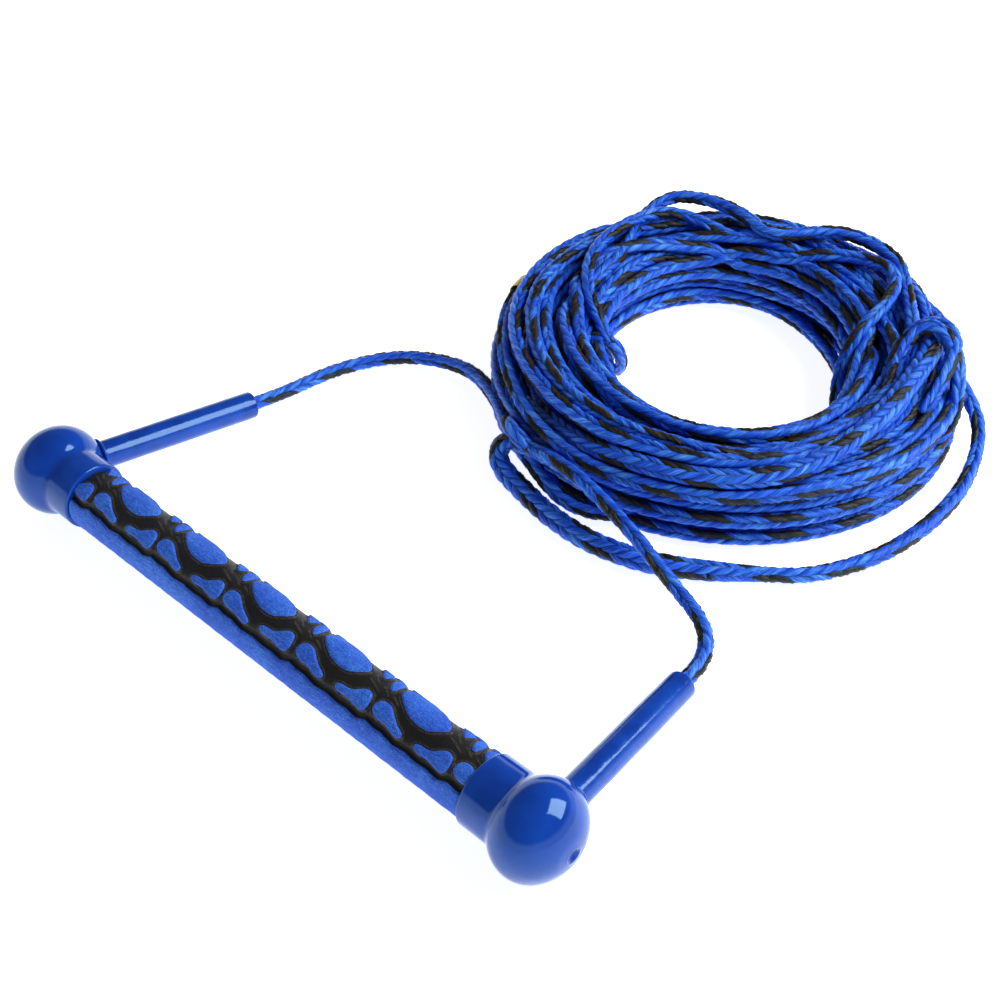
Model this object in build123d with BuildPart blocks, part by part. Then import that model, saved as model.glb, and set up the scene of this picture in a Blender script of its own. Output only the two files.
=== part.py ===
"""Tow rope handle: a floating foam grip on a metal bar, two end caps, finger sleeves,
a rope bridle and its coiled line.

Frame: millimetres, +X along the bar, +Y from the bar towards the bridle, +Z up. The
origin is on the ground under the centre of the handle's own overall box, so the bar lies
at y = bar_y. The two end balls and the two sleeve tips stand on the ground.
"""
from build123d import *
import os
from math import asin, atan2, cos, degrees, hypot, pi, radians, sin, sqrt, tan

os.makedirs("parts", exist_ok=True)

# ---- driving sizes -------------------------------------------------------------------
bar_y = -43.5                # the bar's axis, behind the origin
ball_d = 44.5                # round knob at each end of the bar
ball_half_width = 18.5       # half the knob's length along the bar
ball_x = 155.5               # knob centre from the middle of the bar
end_flat_d = 12.0            # flat on the outer end of a knob
dimple_d = 6.0
dimple_depth = 1.6
collar_step = 0.75           # the cap's collar stands this proud of the grip
collar_end = 29.0            # knob centre to the collar's inner edge
neck_r = 5.0                 # hollow between knob and collar
collar_edge_r = 1.2

tube_d = 25.4
tube_wall = 1.5
tube_past_ball = 11.0        # the tube runs this far beyond each knob centre
fit_gap = 0.05               # radial room of glued and pressed pieces
plug_stem = 3.4
plug_flange = 2.0
core_room = 11.0             # float core stops this far short of each knob centre

grip_d = 32.0                # over the raised pads
pad_height = 0.9
grip_gap = 0.1               # foam to collar, each end
pitch = 47.0                 # the pad pattern repeats along the bar
pattern_shift = -2.0         # where the middle repeat sits

rope_d = 8.0
splice_d = 11.0              # rope with its own tail run back inside it
sleeve_wall = 3.0
sleeve_bore_d = rope_d + 0.4
sleeve_tip = 110.0           # knob centre to the sleeve's outer end, along the sleeve
seat_depth = 0.75            # knob surface to the sleeve's seat centre
seat_gap = 0.3
anchor_short = 0.8           # the fixed rope stops this short of the sleeve's mouth
core_short = 0.2             # and the sleeve's own rope starts this far inside it
toe_in = 7.1                 # sleeves lean towards each other, degrees
tip_round = 1.2
mouth_round = 0.5
mouth_gap = 0.6              # sleeve end to the free rope
knot_r = 6.9                 # stopper knot inside the bar
rope_hole_d = rope_d + 0.6

coil_x, coil_y = 26.0, 245.5
coil_r = 120.0               # outside of the coil
coil_h = 42.0
hole_long, hole_short = 76.0, 63.0
hole_turn = 133.0            # direction of the hole's long way, degrees
marker_angle = 197.0

# ---- derived -------------------------------------------------------------------------
ball_r = ball_d / 2
bar_z = ball_r
collar_d = grip_d + 2 * collar_step
sleeve_d = rope_d + 2 * sleeve_wall
pivot_out = ball_r - seat_depth
seat_r = sleeve_d / 2
seat_mouth = pivot_out - sqrt(seat_r ** 2 - (sleeve_bore_d / 2) ** 2)
coil_wall = coil_r - hole_long
coil_top_r = min(15.0, 0.4 * coil_wall)
coil_foot_r = min(9.0, 0.25 * coil_wall)
# the sleeves slope down until their rounded tips touch the ground
drop = asin((ball_r - tip_round - 0.99 * (sleeve_d / 2 - tip_round)) / (sleeve_tip - tip_round))
bar_axis = Axis((0, bar_y, bar_z), (1, 0, 0))
bar_plane = Plane(origin=(0, bar_y, bar_z), x_dir=(1, 0, 0), z_dir=(0, -1, 0))
grip_half = ball_x - collar_end - grip_gap
pad_base_r = grip_d / 2 - pad_height


def ball_centre(side):
    """Knob centre; side is -1 at the left end and 1 at the right end."""
    return Vector(side * ball_x, bar_y, bar_z)


def sleeve_dir(side):
    """Unit vector out of a knob along its sleeve."""
    lean = radians(toe_in)
    return Vector(-side * sin(lean) * cos(drop), cos(lean) * cos(drop), -sin(drop))


def along(side, distance):
    return ball_centre(side) + sleeve_dir(side) * distance


def save(builder, label):
    """Names a piece and writes it."""
    builder.part.label = label
    export_step(builder.part, f"parts/{label}.step")
    box = builder.part.bounding_box()
    print(f"{label:18s} {builder.part.volume:11.1f} mm3  z {box.min.Z:6.2f} {box.max.Z:6.2f}")


# ---- bar -----------------------------------------------------------------------------
with BuildPart() as bar_tube:
    with BuildSketch(Plane.YZ.offset(-ball_x - tube_past_ball)):
        with Locations((bar_y, bar_z)):
            Circle(tube_d / 2)
            Circle(tube_d / 2 - tube_wall, mode=Mode.SUBTRACT)
    extrude(amount=2 * (ball_x + tube_past_ball))
    for side in (-1, 1):
        with BuildSketch(Plane(origin=ball_centre(side), z_dir=sleeve_dir(side))):
            Circle(rope_hole_d / 2)
        extrude(amount=tube_d, mode=Mode.SUBTRACT)
save(bar_tube, "bar_tube")

with BuildPart() as float_core:
    with BuildSketch(Plane.YZ.offset(-ball_x + core_room)):
        with Locations((bar_y, bar_z)):
            Circle(tube_d / 2 - tube_wall - fit_gap)
    extrude(amount=2 * (ball_x - core_room))
    chamfer(float_core.edges().filter_by(GeomType.CIRCLE), length=0.8)
save(float_core, "float_core")

# ---- foam grip: a dark base with raised pads ------------------------------------------
with BuildPart() as grip_base:
    with BuildSketch(Plane.YZ.offset(-grip_half)):
        with Locations((bar_y, bar_z)):
            Circle(pad_base_r)
            Circle(tube_d / 2 + fit_gap, mode=Mode.SUBTRACT)
    extrude(amount=2 * grip_half)
save(grip_base, "grip_base")


def row_plane(angle):
    """Tangent plane of the grip; 0 degrees faces away from the bridle, 90 is the top."""
    out = (0, -cos(radians(angle)), sin(radians(angle)))
    return Plane(origin=(0, bar_y, bar_z), x_dir=(1, 0, 0), z_dir=out).offset(grip_d / 4)


def pads(angle, corners, soft, places, name):
    """A row of equal raised pads, cut from the grip's outer layer."""
    with BuildPart() as row:
        with BuildSketch(row_plane(angle)) as outline:
            with Locations(*[(x, 0) for x in places]):
                add(pad_face(corners, soft))
        extrude(amount=grip_d / 2)
        with BuildSketch(Plane.YZ.offset(-grip_half)):
            with Locations((bar_y, bar_z)):
                Circle(grip_d / 2)
                Circle(pad_base_r, mode=Mode.SUBTRACT)
        extrude(amount=2 * grip_half, mode=Mode.INTERSECT)
    save(row, name)
    return row


def pad_face(corners, soft):
    """The outline of one pad, its corners rounded."""
    with BuildSketch(Plane.XY, mode=Mode.PRIVATE) as face:
        with BuildLine():
            Polyline(*corners, close=True)
        make_face()
        fillet(face.vertices(), radius=soft)
    return face.sketch


repeats = [pattern_shift + pitch * n for n in range(-2, 3)]
big_pad = [(-14.8, 1.5), (-12.5, -3.5), (-4.5, -8.4), (6.0, -8.4), (14.8, 0.0),
           (6.0, 8.4), (-4.5, 8.4), (-12.5, 5.5)]
slim_pad = [(-23.2, 5.4), (-20.5, 6.4), (-17.6, 1.5), (-17.4, -2.6), (-19.2, -4.2),
            (-22.0, -1.0)]
boot_pad = [(6.9, -3.2), (9.5, -0.6), (15.0, 0.8), (18.5, 5.4), (22.0, 6.2), (25.2, 3.0),
            (25.8, -4.6), (19.0, -4.6), (13.5, -3.6)]
bean_pad = [(-19.0, 0.0), (-16.2, 4.7), (-11.0, 4.5), (-3.0, -0.8), (0.6, -4.4),
            (-2.0, -5.4), (-9.5, -3.0), (-17.0, -2.8)]
big_pads = pads(112.0, big_pad, 1.6, repeats, "grip_pads_large")
slim_pads = pads(116.0, slim_pad, 0.9, repeats + [repeats[-1] + pitch], "grip_pads_slim")
boot_pads = pads(64.0, boot_pad, 0.9, repeats, "grip_pads_boot")
bean_pads = pads(64.0, bean_pad, 0.9, repeats, "grip_pads_bean")

band_from, band_to = -30.0, 33.0             # the plain strip along the front
under_from, under_to = 191.0, 318.0          # the plain strip underneath and behind
for name, start, stop in (("grip_band_front", band_from, band_to),
                          ("grip_band_under", under_from, under_to)):
    with BuildPart() as band:
        with BuildSketch(Plane.YZ.offset(-grip_half)):
            with BuildLine():
                # on the YZ plane an angle is counted from +Y towards +Z
                first, last = 180 - stop, 180 - start
                outer = CenterArc((bar_y, bar_z), grip_d / 2, first, last - first)
                inner = CenterArc((bar_y, bar_z), pad_base_r, first, last - first)
                Line(outer @ 0, inner @ 0)
                Line(outer @ 1, inner @ 1)
            make_face()
        extrude(amount=2 * grip_half)
    save(band, name)

# ---- end caps ------------------------------------------------------------------------
def cap_outline():
    """Half section of a cap: along the bar from the knob centre, and out from the axis."""
    with BuildSketch(mode=Mode.PRIVATE) as outline:
        with BuildLine():
            knob = EllipticalCenterArc((0, 0), ball_half_width, ball_r, start_angle,
                                       arc_size=stop_angle - start_angle)
            Polyline(knob @ 1, (-collar_end, collar_d / 2), (-collar_end, bore_r),
                     (bore_end, bore_r), (bore_end, 0), (flat_u, 0), knob @ 0)
        make_face()
    return outline.sketch


bore_r = tube_d / 2 + fit_gap
bore_end = tube_past_ball + plug_flange + 0.2
flat_r = end_flat_d / 2
flat_u = ball_half_width * sqrt(1 - (flat_r / ball_r) ** 2)
neck_u = ball_half_width * sqrt(1 - (collar_d / 2 / ball_r) ** 2)
start_angle = degrees(atan2(flat_r / ball_r, flat_u / ball_half_width))
stop_angle = 180 - degrees(atan2(collar_d / 2 / ball_r, neck_u / ball_half_width))
with BuildPart() as right_end_cap:
    with BuildSketch(bar_plane):
        with Locations((ball_x, 0)):
            add(cap_outline())
    revolve(axis=bar_axis)
    rings = right_end_cap.edges().filter_by(GeomType.CIRCLE)
    collar = rings.filter_by(lambda e: abs(e.radius - collar_d / 2) < 0.01)
    fillet(collar.sort_by(Axis.X)[-1:], radius=neck_r)
    rings = right_end_cap.edges().filter_by(GeomType.CIRCLE)
    collar = rings.filter_by(lambda e: abs(e.radius - collar_d / 2) < 0.01)
    fillet(collar.sort_by(Axis.X)[:1], radius=collar_edge_r)
    dimple_ball = (dimple_d ** 2 / 4 + dimple_depth ** 2) / (2 * dimple_depth)
    with Locations((ball_x + flat_u + dimple_ball - dimple_depth, bar_y, bar_z)):
        Sphere(dimple_ball, mode=Mode.SUBTRACT)
    with BuildSketch(Plane(origin=ball_centre(1), z_dir=sleeve_dir(1))):
        Circle(rope_hole_d / 2)
    extrude(amount=ball_d, mode=Mode.SUBTRACT)
    with Locations(along(1, pivot_out)):
        Sphere(seat_r + seat_gap, mode=Mode.SUBTRACT)
save(right_end_cap, "right_end_cap")

with BuildPart() as left_end_cap:
    mirror(right_end_cap.part, about=Plane.YZ)
save(left_end_cap, "left_end_cap")

# ---- tube plugs ----------------------------------------------------------------------
for side, name in ((-1, "left_tube_plug"), (1, "right_tube_plug")):
    face = side * (ball_x + tube_past_ball)
    with BuildPart() as plug:
        with BuildSketch(Plane.YZ.offset(face)):
            with Locations((bar_y, bar_z)):
                Circle(tube_d / 2)
        extrude(amount=side * plug_flange)
        with BuildSketch(Plane.YZ.offset(face)):
            with Locations((bar_y, bar_z)):
                Circle(tube_d / 2 - tube_wall - fit_gap)
        extrude(amount=-side * plug_stem)
    save(plug, name)

# ---- rope ends, finger sleeves --------------------------------------------------------
for side, word in ((-1, "left"), (1, "right")):
    heading = sleeve_dir(side)
    with BuildPart() as anchor:
        knot_out = tube_d / 2 - tube_wall - knot_r - 0.2
        with Locations(along(side, knot_out)):
            Sphere(knot_r)
        with BuildSketch(Plane(origin=along(side, knot_out), z_dir=heading)):
            Circle(rope_d / 2)
        extrude(amount=seat_mouth - anchor_short - knot_out)
    save(anchor, f"{word}_rope_anchor")

    with BuildPart() as sleeve:
        with BuildSketch(Plane(origin=along(side, pivot_out), z_dir=heading)):
            Circle(sleeve_d / 2)
        extrude(amount=sleeve_tip - pivot_out)
        tip_edge = sleeve.edges().filter_by(GeomType.CIRCLE).sort_by(Axis.Y)[-1:]
        fillet(tip_edge, radius=tip_round)
        with Locations(along(side, pivot_out)):
            Sphere(seat_r)
        with BuildSketch(Plane(origin=along(side, 0), z_dir=heading)):
            Circle(sleeve_bore_d / 2)
        extrude(amount=sleeve_tip + 1, mode=Mode.SUBTRACT)
        rings = sleeve.edges().filter_by(GeomType.CIRCLE)
        mouth = rings.filter_by(lambda e: abs(e.radius - sleeve_bore_d / 2) < 0.01)
        chamfer(mouth.sort_by(Axis.Y)[-1:], length=mouth_round)
    save(sleeve, f"{word}_sleeve")

    with BuildPart() as inner_rope:
        core_from = seat_mouth + core_short
        with BuildSketch(Plane(origin=along(side, core_from), z_dir=heading)):
            Circle(rope_d / 2)
        extrude(amount=sleeve_tip - core_from - 0.3)
    save(inner_rope, f"{word}_rope_core")


# ---- free rope -----------------------------------------------------------------------
def on_bar(x, y, z):
    """A point given from the middle of the bar, height above the ground."""
    return Vector(x, bar_y + y, z)


def bend_radii(points):
    """An arc at each inner point that takes 0.45 of the shorter run beside it."""
    found = []
    for a, b, c in zip(points, points[1:], points[2:]):
        run_in, run_out = b - a, c - b
        cosine = run_in.dot(run_out) / run_in.length / run_out.length
        turn = atan2(sqrt(max(0.0, 1 - cosine ** 2)), cosine)
        found.append(0.45 * min(run_in.length, run_out.length) / tan(turn / 2))
    return found


def rope(points, diameter, name):
    """A round rope through straight runs and tangent arcs."""
    radii = bend_radii(points)
    with BuildPart() as run:
        with BuildLine() as path:
            FilletPolyline(*points, radius=radii)
        with BuildSketch(Plane(origin=points[0], z_dir=points[1] - points[0])):
            Circle(diameter / 2)
        sweep(path=path.line)
    length = sum(edge.length for edge in path.line.edges())
    ideal = pi * diameter ** 2 / 4 * length
    print(name, "radii", [round(r, 1) for r in radii], "length", round(length, 1),
          "volume ratio", round(run.part.volume / ideal, 4))
    save(run, name)
    return run


knot_at = on_bar(-14, 163, 13)
left_start = along(-1, sleeve_tip + mouth_gap)
right_start = along(1, sleeve_tip + mouth_gap)
left_leg = [left_start, on_bar(-139.2, 130, 4.1), on_bar(-134.5, 163, 4.1),
            on_bar(-116, 195, 5), on_bar(-78, 206, 10), on_bar(-45, 191, 15),
            on_bar(-18, 172, 17)]
right_leg = [right_start, on_bar(139.3, 129, 4.2), on_bar(127, 145, 5),
             on_bar(102, 149, 13), on_bar(76, 153, 24), on_bar(44, 158, 31),
             on_bar(14, 164, 28), on_bar(-8, 165, 19)]
lead_splice_line = [on_bar(-16, 158, 7), on_bar(2, 148.5, 6), on_bar(28, 141.5, 5.6),
                    on_bar(64, 145, 5.6), on_bar(98, 161, 5.6), on_bar(126, 186, 5.6)]
lead_line_line = [on_bar(126, 186, 5.6), on_bar(144, 202, 5.6), on_bar(160, 236, 4.1),
                  on_bar(165, 272, 4.1), on_bar(163, 305, 4.1), on_bar(154, 334, 7),
                  on_bar(142, 350, 16), on_bar(126, 354, 25)]
rope(left_leg, rope_d, "bridle_leg_left")
rope(right_leg, rope_d, "bridle_leg_right")
rope(lead_splice_line, splice_d, "lead_splice")
rope(lead_line_line, rope_d, "lead_line")


def knot_solid(centre, heading, half_length, radius, name):
    """A knot as one rounded lump, longer along its heading."""
    lie = Plane(origin=centre, x_dir=heading, z_dir=(0, 0, 1))
    with BuildPart() as lump:
        with BuildSketch(lie):
            with BuildLine():
                top = EllipticalCenterArc((0, 0), half_length, radius, 0,
                                          arc_size=180)
                Line(top @ 1, top @ 0)
            make_face()
        revolve(axis=Axis(centre, heading))
    save(lump, name)


knot_solid(knot_at, (0.6, 0.8, 0), 16, 12, "bridle_knot")

# ---- coiled line ---------------------------------------------------------------------
with BuildPart() as rope_coil:
    with BuildSketch(Plane.XY):
        with Locations((coil_x, coil_y)):
            Circle(coil_r)
        with Locations(Location((coil_x, coil_y, 0), (0, 0, hole_turn))):
            Ellipse(hole_long, hole_short, mode=Mode.SUBTRACT)
    extrude(amount=coil_h)
    fillet(rope_coil.edges().group_by(Axis.Z)[-1], radius=coil_top_r)
    fillet(rope_coil.edges().group_by(Axis.Z)[0], radius=coil_foot_r)
save(rope_coil, "rope_coil")


def ring_point(angle, radius, height):
    """A point round the coil's centre, angle in degrees from +X."""
    return Vector(coil_x + radius * cos(radians(angle)), coil_y + radius * sin(radians(angle)),
                  height)


section_splice_line = [ring_point(a, r, z) for a, r, z in
                       ((30, 102, 46), (13, 98, 46.5), (-4, 100, 46.5), (-21, 107, 45),
                        (-38, 114, 41), (-55, 116, 39), (-70, 115, 39))]
rope(section_splice_line, splice_d, "section_splice")
knot_solid(ring_point(35, 104, 46), (-0.5, 0.86, 0), 15, 10.5, "section_knot")

# two turns that cross the bundle and drop over its inner edge
left_wrap_line = [ring_point(a, r, z) for a, r, z in
                  ((140, 111, 44), (156, 107, 45.5), (173, 97, 45.5), (191, 84, 45.5),
                   (209, 70, 43), (222, 62, 34), (229, 60, 22))]
right_wrap_line = [ring_point(a, r, z) for a, r, z in
                   ((80, 110, 44), (67, 104, 45.5), (56, 90, 45.5), (47, 74, 45),
                    (39, 62, 37), (31, 59, 24), (20, 60, 13))]
rope(left_wrap_line, rope_d, "coil_wrap_left")
rope(right_wrap_line, rope_d, "coil_wrap_right")

with BuildPart() as tow_eye:
    with Locations(Location(ring_point(224, 57, 27), (64, 0, 20))):
        Torus(11, rope_d / 2)
save(tow_eye, "tow_eye")

with BuildPart() as rope_marker:
    tag_at = ring_point(marker_angle, coil_r + 1, 26)
    heading = (-sin(radians(marker_angle)), cos(radians(marker_angle)), 0)
    with BuildSketch(Plane(origin=tag_at, z_dir=heading).offset(-8)):
        Circle(rope_d / 2 + 0.8)
    extrude(amount=16)
save(rope_marker, "rope_marker")
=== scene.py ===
"""Tow rope handle: its looks, in metres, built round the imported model.

A foam grip on a metal bar with two glossy end caps and two finger sleeves, a braided
bridle, and the long line that it pulls on, hand-coiled with its splices and knots.
"""
import logging
import math
from dataclasses import dataclass, field
from enum import Enum

import bpy
import numpy as np
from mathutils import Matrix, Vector


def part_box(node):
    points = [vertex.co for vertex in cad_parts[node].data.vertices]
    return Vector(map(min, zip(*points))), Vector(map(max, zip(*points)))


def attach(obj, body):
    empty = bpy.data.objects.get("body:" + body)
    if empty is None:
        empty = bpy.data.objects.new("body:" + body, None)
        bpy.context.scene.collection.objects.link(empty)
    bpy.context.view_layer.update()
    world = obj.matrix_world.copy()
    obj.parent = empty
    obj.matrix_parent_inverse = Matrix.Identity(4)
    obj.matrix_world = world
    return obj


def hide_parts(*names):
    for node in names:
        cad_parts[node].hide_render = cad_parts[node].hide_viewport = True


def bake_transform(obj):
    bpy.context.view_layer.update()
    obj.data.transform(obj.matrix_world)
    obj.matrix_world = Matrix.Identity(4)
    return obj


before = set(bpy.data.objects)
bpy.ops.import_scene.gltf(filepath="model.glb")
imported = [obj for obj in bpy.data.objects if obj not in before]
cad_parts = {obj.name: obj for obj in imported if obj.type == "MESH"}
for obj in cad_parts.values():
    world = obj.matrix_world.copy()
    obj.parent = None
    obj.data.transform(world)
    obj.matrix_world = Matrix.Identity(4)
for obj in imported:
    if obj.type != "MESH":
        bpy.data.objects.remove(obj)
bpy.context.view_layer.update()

HANDLE = "handle"
MOULDED_EDGE = math.radians(40)    # edges of moulded vinyl that turn more stay sharp

log = logging.getLogger("tow_rope_handle")
Point = tuple[float, float, float]
Colour = tuple[float, float, float, float]


class Side(Enum):
    """The two ends of the bar."""

    LEFT = -1
    RIGHT = 1

    @property
    def word(self) -> str:
        """The name that pieces on this side start with."""
        return self.name.lower()

    @property
    def guard(self) -> str:
        """The body that this side's finger sleeve rides on."""
        return f"{self.word}_finger_guard"


# ---- shared helpers --------------------------------------------------------------------
def dye(red: int, green: int, blue: int) -> Colour:
    """Turns a colour as seen on a screen, 0 to 255, into the linear one that shaders take.

    Args:
        red: Share of red, 0 to 255.
        green: Share of green, 0 to 255.
        blue: Share of blue, 0 to 255.

    Returns:
        The linear colour with full opacity.
    """
    def linear(level: int) -> float:
        """One channel, without its display curve."""
        share = level / 255
        return share / 12.92 if share <= 0.04045 else ((share + 0.055) / 1.055) ** 2.4
    return linear(red), linear(green), linear(blue), 1.0


def deselect() -> None:
    """Leaves nothing selected, so that an operator acts only on what comes next."""
    bpy.ops.object.select_all(action="DESELECT")


def only(piece: bpy.types.Object) -> None:
    """Makes one piece the active and only selected one."""
    deselect()
    piece.select_set(True)
    bpy.context.view_layer.objects.active = piece


def in_edit(piece: bpy.types.Object) -> None:
    """Opens one piece in edit mode with nothing selected."""
    only(piece)
    bpy.ops.object.mode_set(mode="EDIT")
    bpy.ops.mesh.select_all(action="DESELECT")


def out_of_edit() -> None:
    """Goes back to object mode."""
    bpy.ops.object.mode_set(mode="OBJECT")


def finish_mesh(piece: bpy.types.Object, name: str, material: bpy.types.Material,
                crease: float = math.radians(35)) -> bpy.types.Object:
    """Names a modelled piece, puts its place into its mesh, dresses and shades it.

    Args:
        piece: The modelled object.
        name: Its name from here on.
        material: What it is made of.
        crease: Edges that turn more than this stay sharp.

    Returns:
        The same piece.
    """
    only(piece)
    bpy.ops.object.transform_apply(location=True, rotation=True, scale=True)
    piece.name = piece.data.name = name
    piece.data.materials.clear()
    piece.data.materials.append(material)
    bpy.ops.object.shade_smooth_by_angle(angle=crease)
    return piece


def apply_modifiers(piece: bpy.types.Object) -> None:
    """Applies every modifier of a piece, first to last."""
    only(piece)
    for modifier in list(piece.modifiers):
        bpy.ops.object.modifier_apply(modifier=modifier.name)


def turned(profile: list[tuple[float, float]], centre: Vector, axis: Vector,
           steps: int = 72) -> bpy.types.Object:
    """A closed turned shape, spun from its half section.

    Args:
        profile: Distance along the axis and distance from it, for each corner.
        centre: Where the distance along the axis is 0.
        axis: Unit vector along the axis.
        steps: Number of flats round it.

    Returns:
        The turned piece, its faces outward.
    """
    out = axis.orthogonal().normalized()
    corners = [centre + axis * along + out * radius for along, radius in profile]
    deselect()
    bpy.ops.mesh.primitive_plane_add(size=0.01, location=corners[0])
    bpy.ops.object.mode_set(mode="EDIT")
    bpy.ops.mesh.select_all(action="SELECT")
    bpy.ops.mesh.merge(type="CENTER")
    for here, there in zip(corners, corners[1:]):
        bpy.ops.mesh.extrude_vertices_move(TRANSFORM_OT_translate={"value": there - here})
    bpy.ops.mesh.select_all(action="SELECT")
    bpy.ops.mesh.spin(steps=steps, angle=2 * math.pi, center=centre, axis=axis)
    bpy.ops.mesh.select_all(action="SELECT")
    bpy.ops.mesh.remove_doubles(threshold=1e-6)
    bpy.ops.mesh.normals_make_consistent(inside=False)
    out_of_edit()
    return bpy.context.active_object


def cut(piece: bpy.types.Object, other: bpy.types.Object, operation: str) -> None:
    """Joins a second closed shape to a piece or takes it away, then removes it.

    Args:
        piece: The piece that stays.
        other: The shape that is used up.
        operation: UNION or DIFFERENCE.
    """
    modifier = piece.modifiers.new("cut", "BOOLEAN")
    modifier.operation, modifier.solver, modifier.object = operation, "EXACT", other
    apply_modifiers(piece)
    bpy.data.objects.remove(other)


def arc(centre: tuple[float, float], radius: float, start: float, stop: float,
        steps: int) -> list[tuple[float, float]]:
    """Corners along an arc of a half section, angles in degrees from the axis outward."""
    return [(centre[0] + radius * math.cos(math.radians(a)),
             centre[1] + radius * math.sin(math.radians(a)))
            for a in np.linspace(start, stop, steps)]


class Shader:
    """A material and short calls that add and join its nodes."""

    COLOUR_MIX_INPUTS = (0, 6, 7)      # a Mix node's share and its two colours
    COLOUR_MIX_OUTPUT = 2

    def __init__(self, name: str) -> None:
        """Starts an empty node tree with its output and main shader."""
        self.material = bpy.data.materials.new(name)
        self.material.use_nodes = True
        self.tree = self.material.node_tree
        self.tree.nodes.clear()
        out = self.tree.nodes.new("ShaderNodeOutputMaterial")
        self.main = self.tree.nodes.new("ShaderNodeBsdfPrincipled")
        self.tree.links.new(self.main.outputs[0], out.inputs["Surface"])

    def set(self, **values: float | Colour) -> None:
        """Sets sockets of the main shader; an underscore stands for a space."""
        for name, value in values.items():
            self.main.inputs[name.replace("_", " ")].default_value = value

    def feed(self, socket: bpy.types.NodeSocket, source: object) -> None:
        """Joins a socket to another, or sets its value; None leaves it as it is."""
        if isinstance(source, bpy.types.NodeSocket):
            self.tree.links.new(source, socket)
        elif source is not None:
            socket.default_value = source

    def add(self, kind: str, *sources: object, **options: object) -> bpy.types.NodeSocket:
        """Adds a node and joins or sets its inputs in order.

        Args:
            kind: The node's type without its ShaderNode prefix.
            sources: What goes into each input: a socket, a value, or None to leave it.
            options: Properties of the node, such as operation.

        Returns:
            The node's first output.
        """
        node = self.tree.nodes.new(f"ShaderNode{kind}")
        for option, value in options.items():
            setattr(node, option, value)
        for socket, source in zip(node.inputs, sources):
            self.feed(socket, source)
        return node.outputs[0]

    def math(self, operation: str, *sources: object) -> bpy.types.NodeSocket:
        """One Math node."""
        return self.add("Math", *sources, operation=operation)

    def stretch(self, vector: bpy.types.NodeSocket, scale: Point) -> bpy.types.NodeSocket:
        """The coordinates scaled by a different amount each way."""
        return self.add("Mapping", vector, None, None, scale)

    def noise(self, vector: bpy.types.NodeSocket, scale: float, detail: float = 2.0,
              rough: float = 0.5) -> bpy.types.NodeSocket:
        """A noise pattern between about 0.3 and 0.7."""
        return self.add("TexNoise", vector, None, scale, detail, rough)

    def ramp(self, value: bpy.types.NodeSocket,
             *stops: tuple[float, Colour]) -> bpy.types.NodeSocket:
        """A colour ramp through the given stops."""
        node = self.tree.nodes.new("ShaderNodeValToRGB")
        band = node.color_ramp.elements
        while len(band) < len(stops):
            band.new(0.5)
        for element, (place, colour) in zip(band, stops):
            element.position, element.color = place, colour
        self.tree.links.new(value, node.inputs[0])
        return node.outputs[0]

    def span(self, value: bpy.types.NodeSocket, low: float, high: float, to_low: float = 0.0,
             to_high: float = 1.0) -> bpy.types.NodeSocket:
        """Maps low..high onto to_low..to_high and holds the ends."""
        return self.add("MapRange", value, low, high, to_low, to_high)

    def blend(self, share: object, first: object, second: object) -> bpy.types.NodeSocket:
        """A colour mix: first where share is 0 and second where it is 1."""
        node = self.tree.nodes.new("ShaderNodeMix")
        node.data_type = "RGBA"
        for number, source in zip(self.COLOUR_MIX_INPUTS, (share, first, second)):
            self.feed(node.inputs[number], source)
        return node.outputs[self.COLOUR_MIX_OUTPUT]

    def join(self, **sockets: bpy.types.NodeSocket) -> None:
        """Joins sockets to the main shader; an underscore stands for a space."""
        for name, socket in sockets.items():
            self.tree.links.new(socket, self.main.inputs[name.replace("_", " ")])

    def bump(self, height: bpy.types.NodeSocket, strength: float, distance: float) -> None:
        """Gives the main shader a bump of this height, in metres at full strength."""
        node = self.tree.nodes.new("ShaderNodeBump")
        node.inputs["Strength"].default_value = strength
        node.inputs["Distance"].default_value = distance
        self.tree.links.new(height, node.inputs["Height"])
        self.join(Normal=node.outputs[0])

    def attribute(self, name: str) -> bpy.types.NodeSocket:
        """The value of a named attribute of the mesh."""
        return self.add("Attribute", attribute_name=name).node.outputs["Fac"]

    def uv(self, name: str) -> bpy.types.NodeSocket:
        """The coordinates of a named UV map."""
        return self.add("UVMap", uv_map=name)

    def place(self) -> bpy.types.NodeSocket:
        """The coordinates on the piece, in metres."""
        node = self.tree.nodes.new("ShaderNodeTexCoord")
        return node.outputs["Object"]


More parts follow.
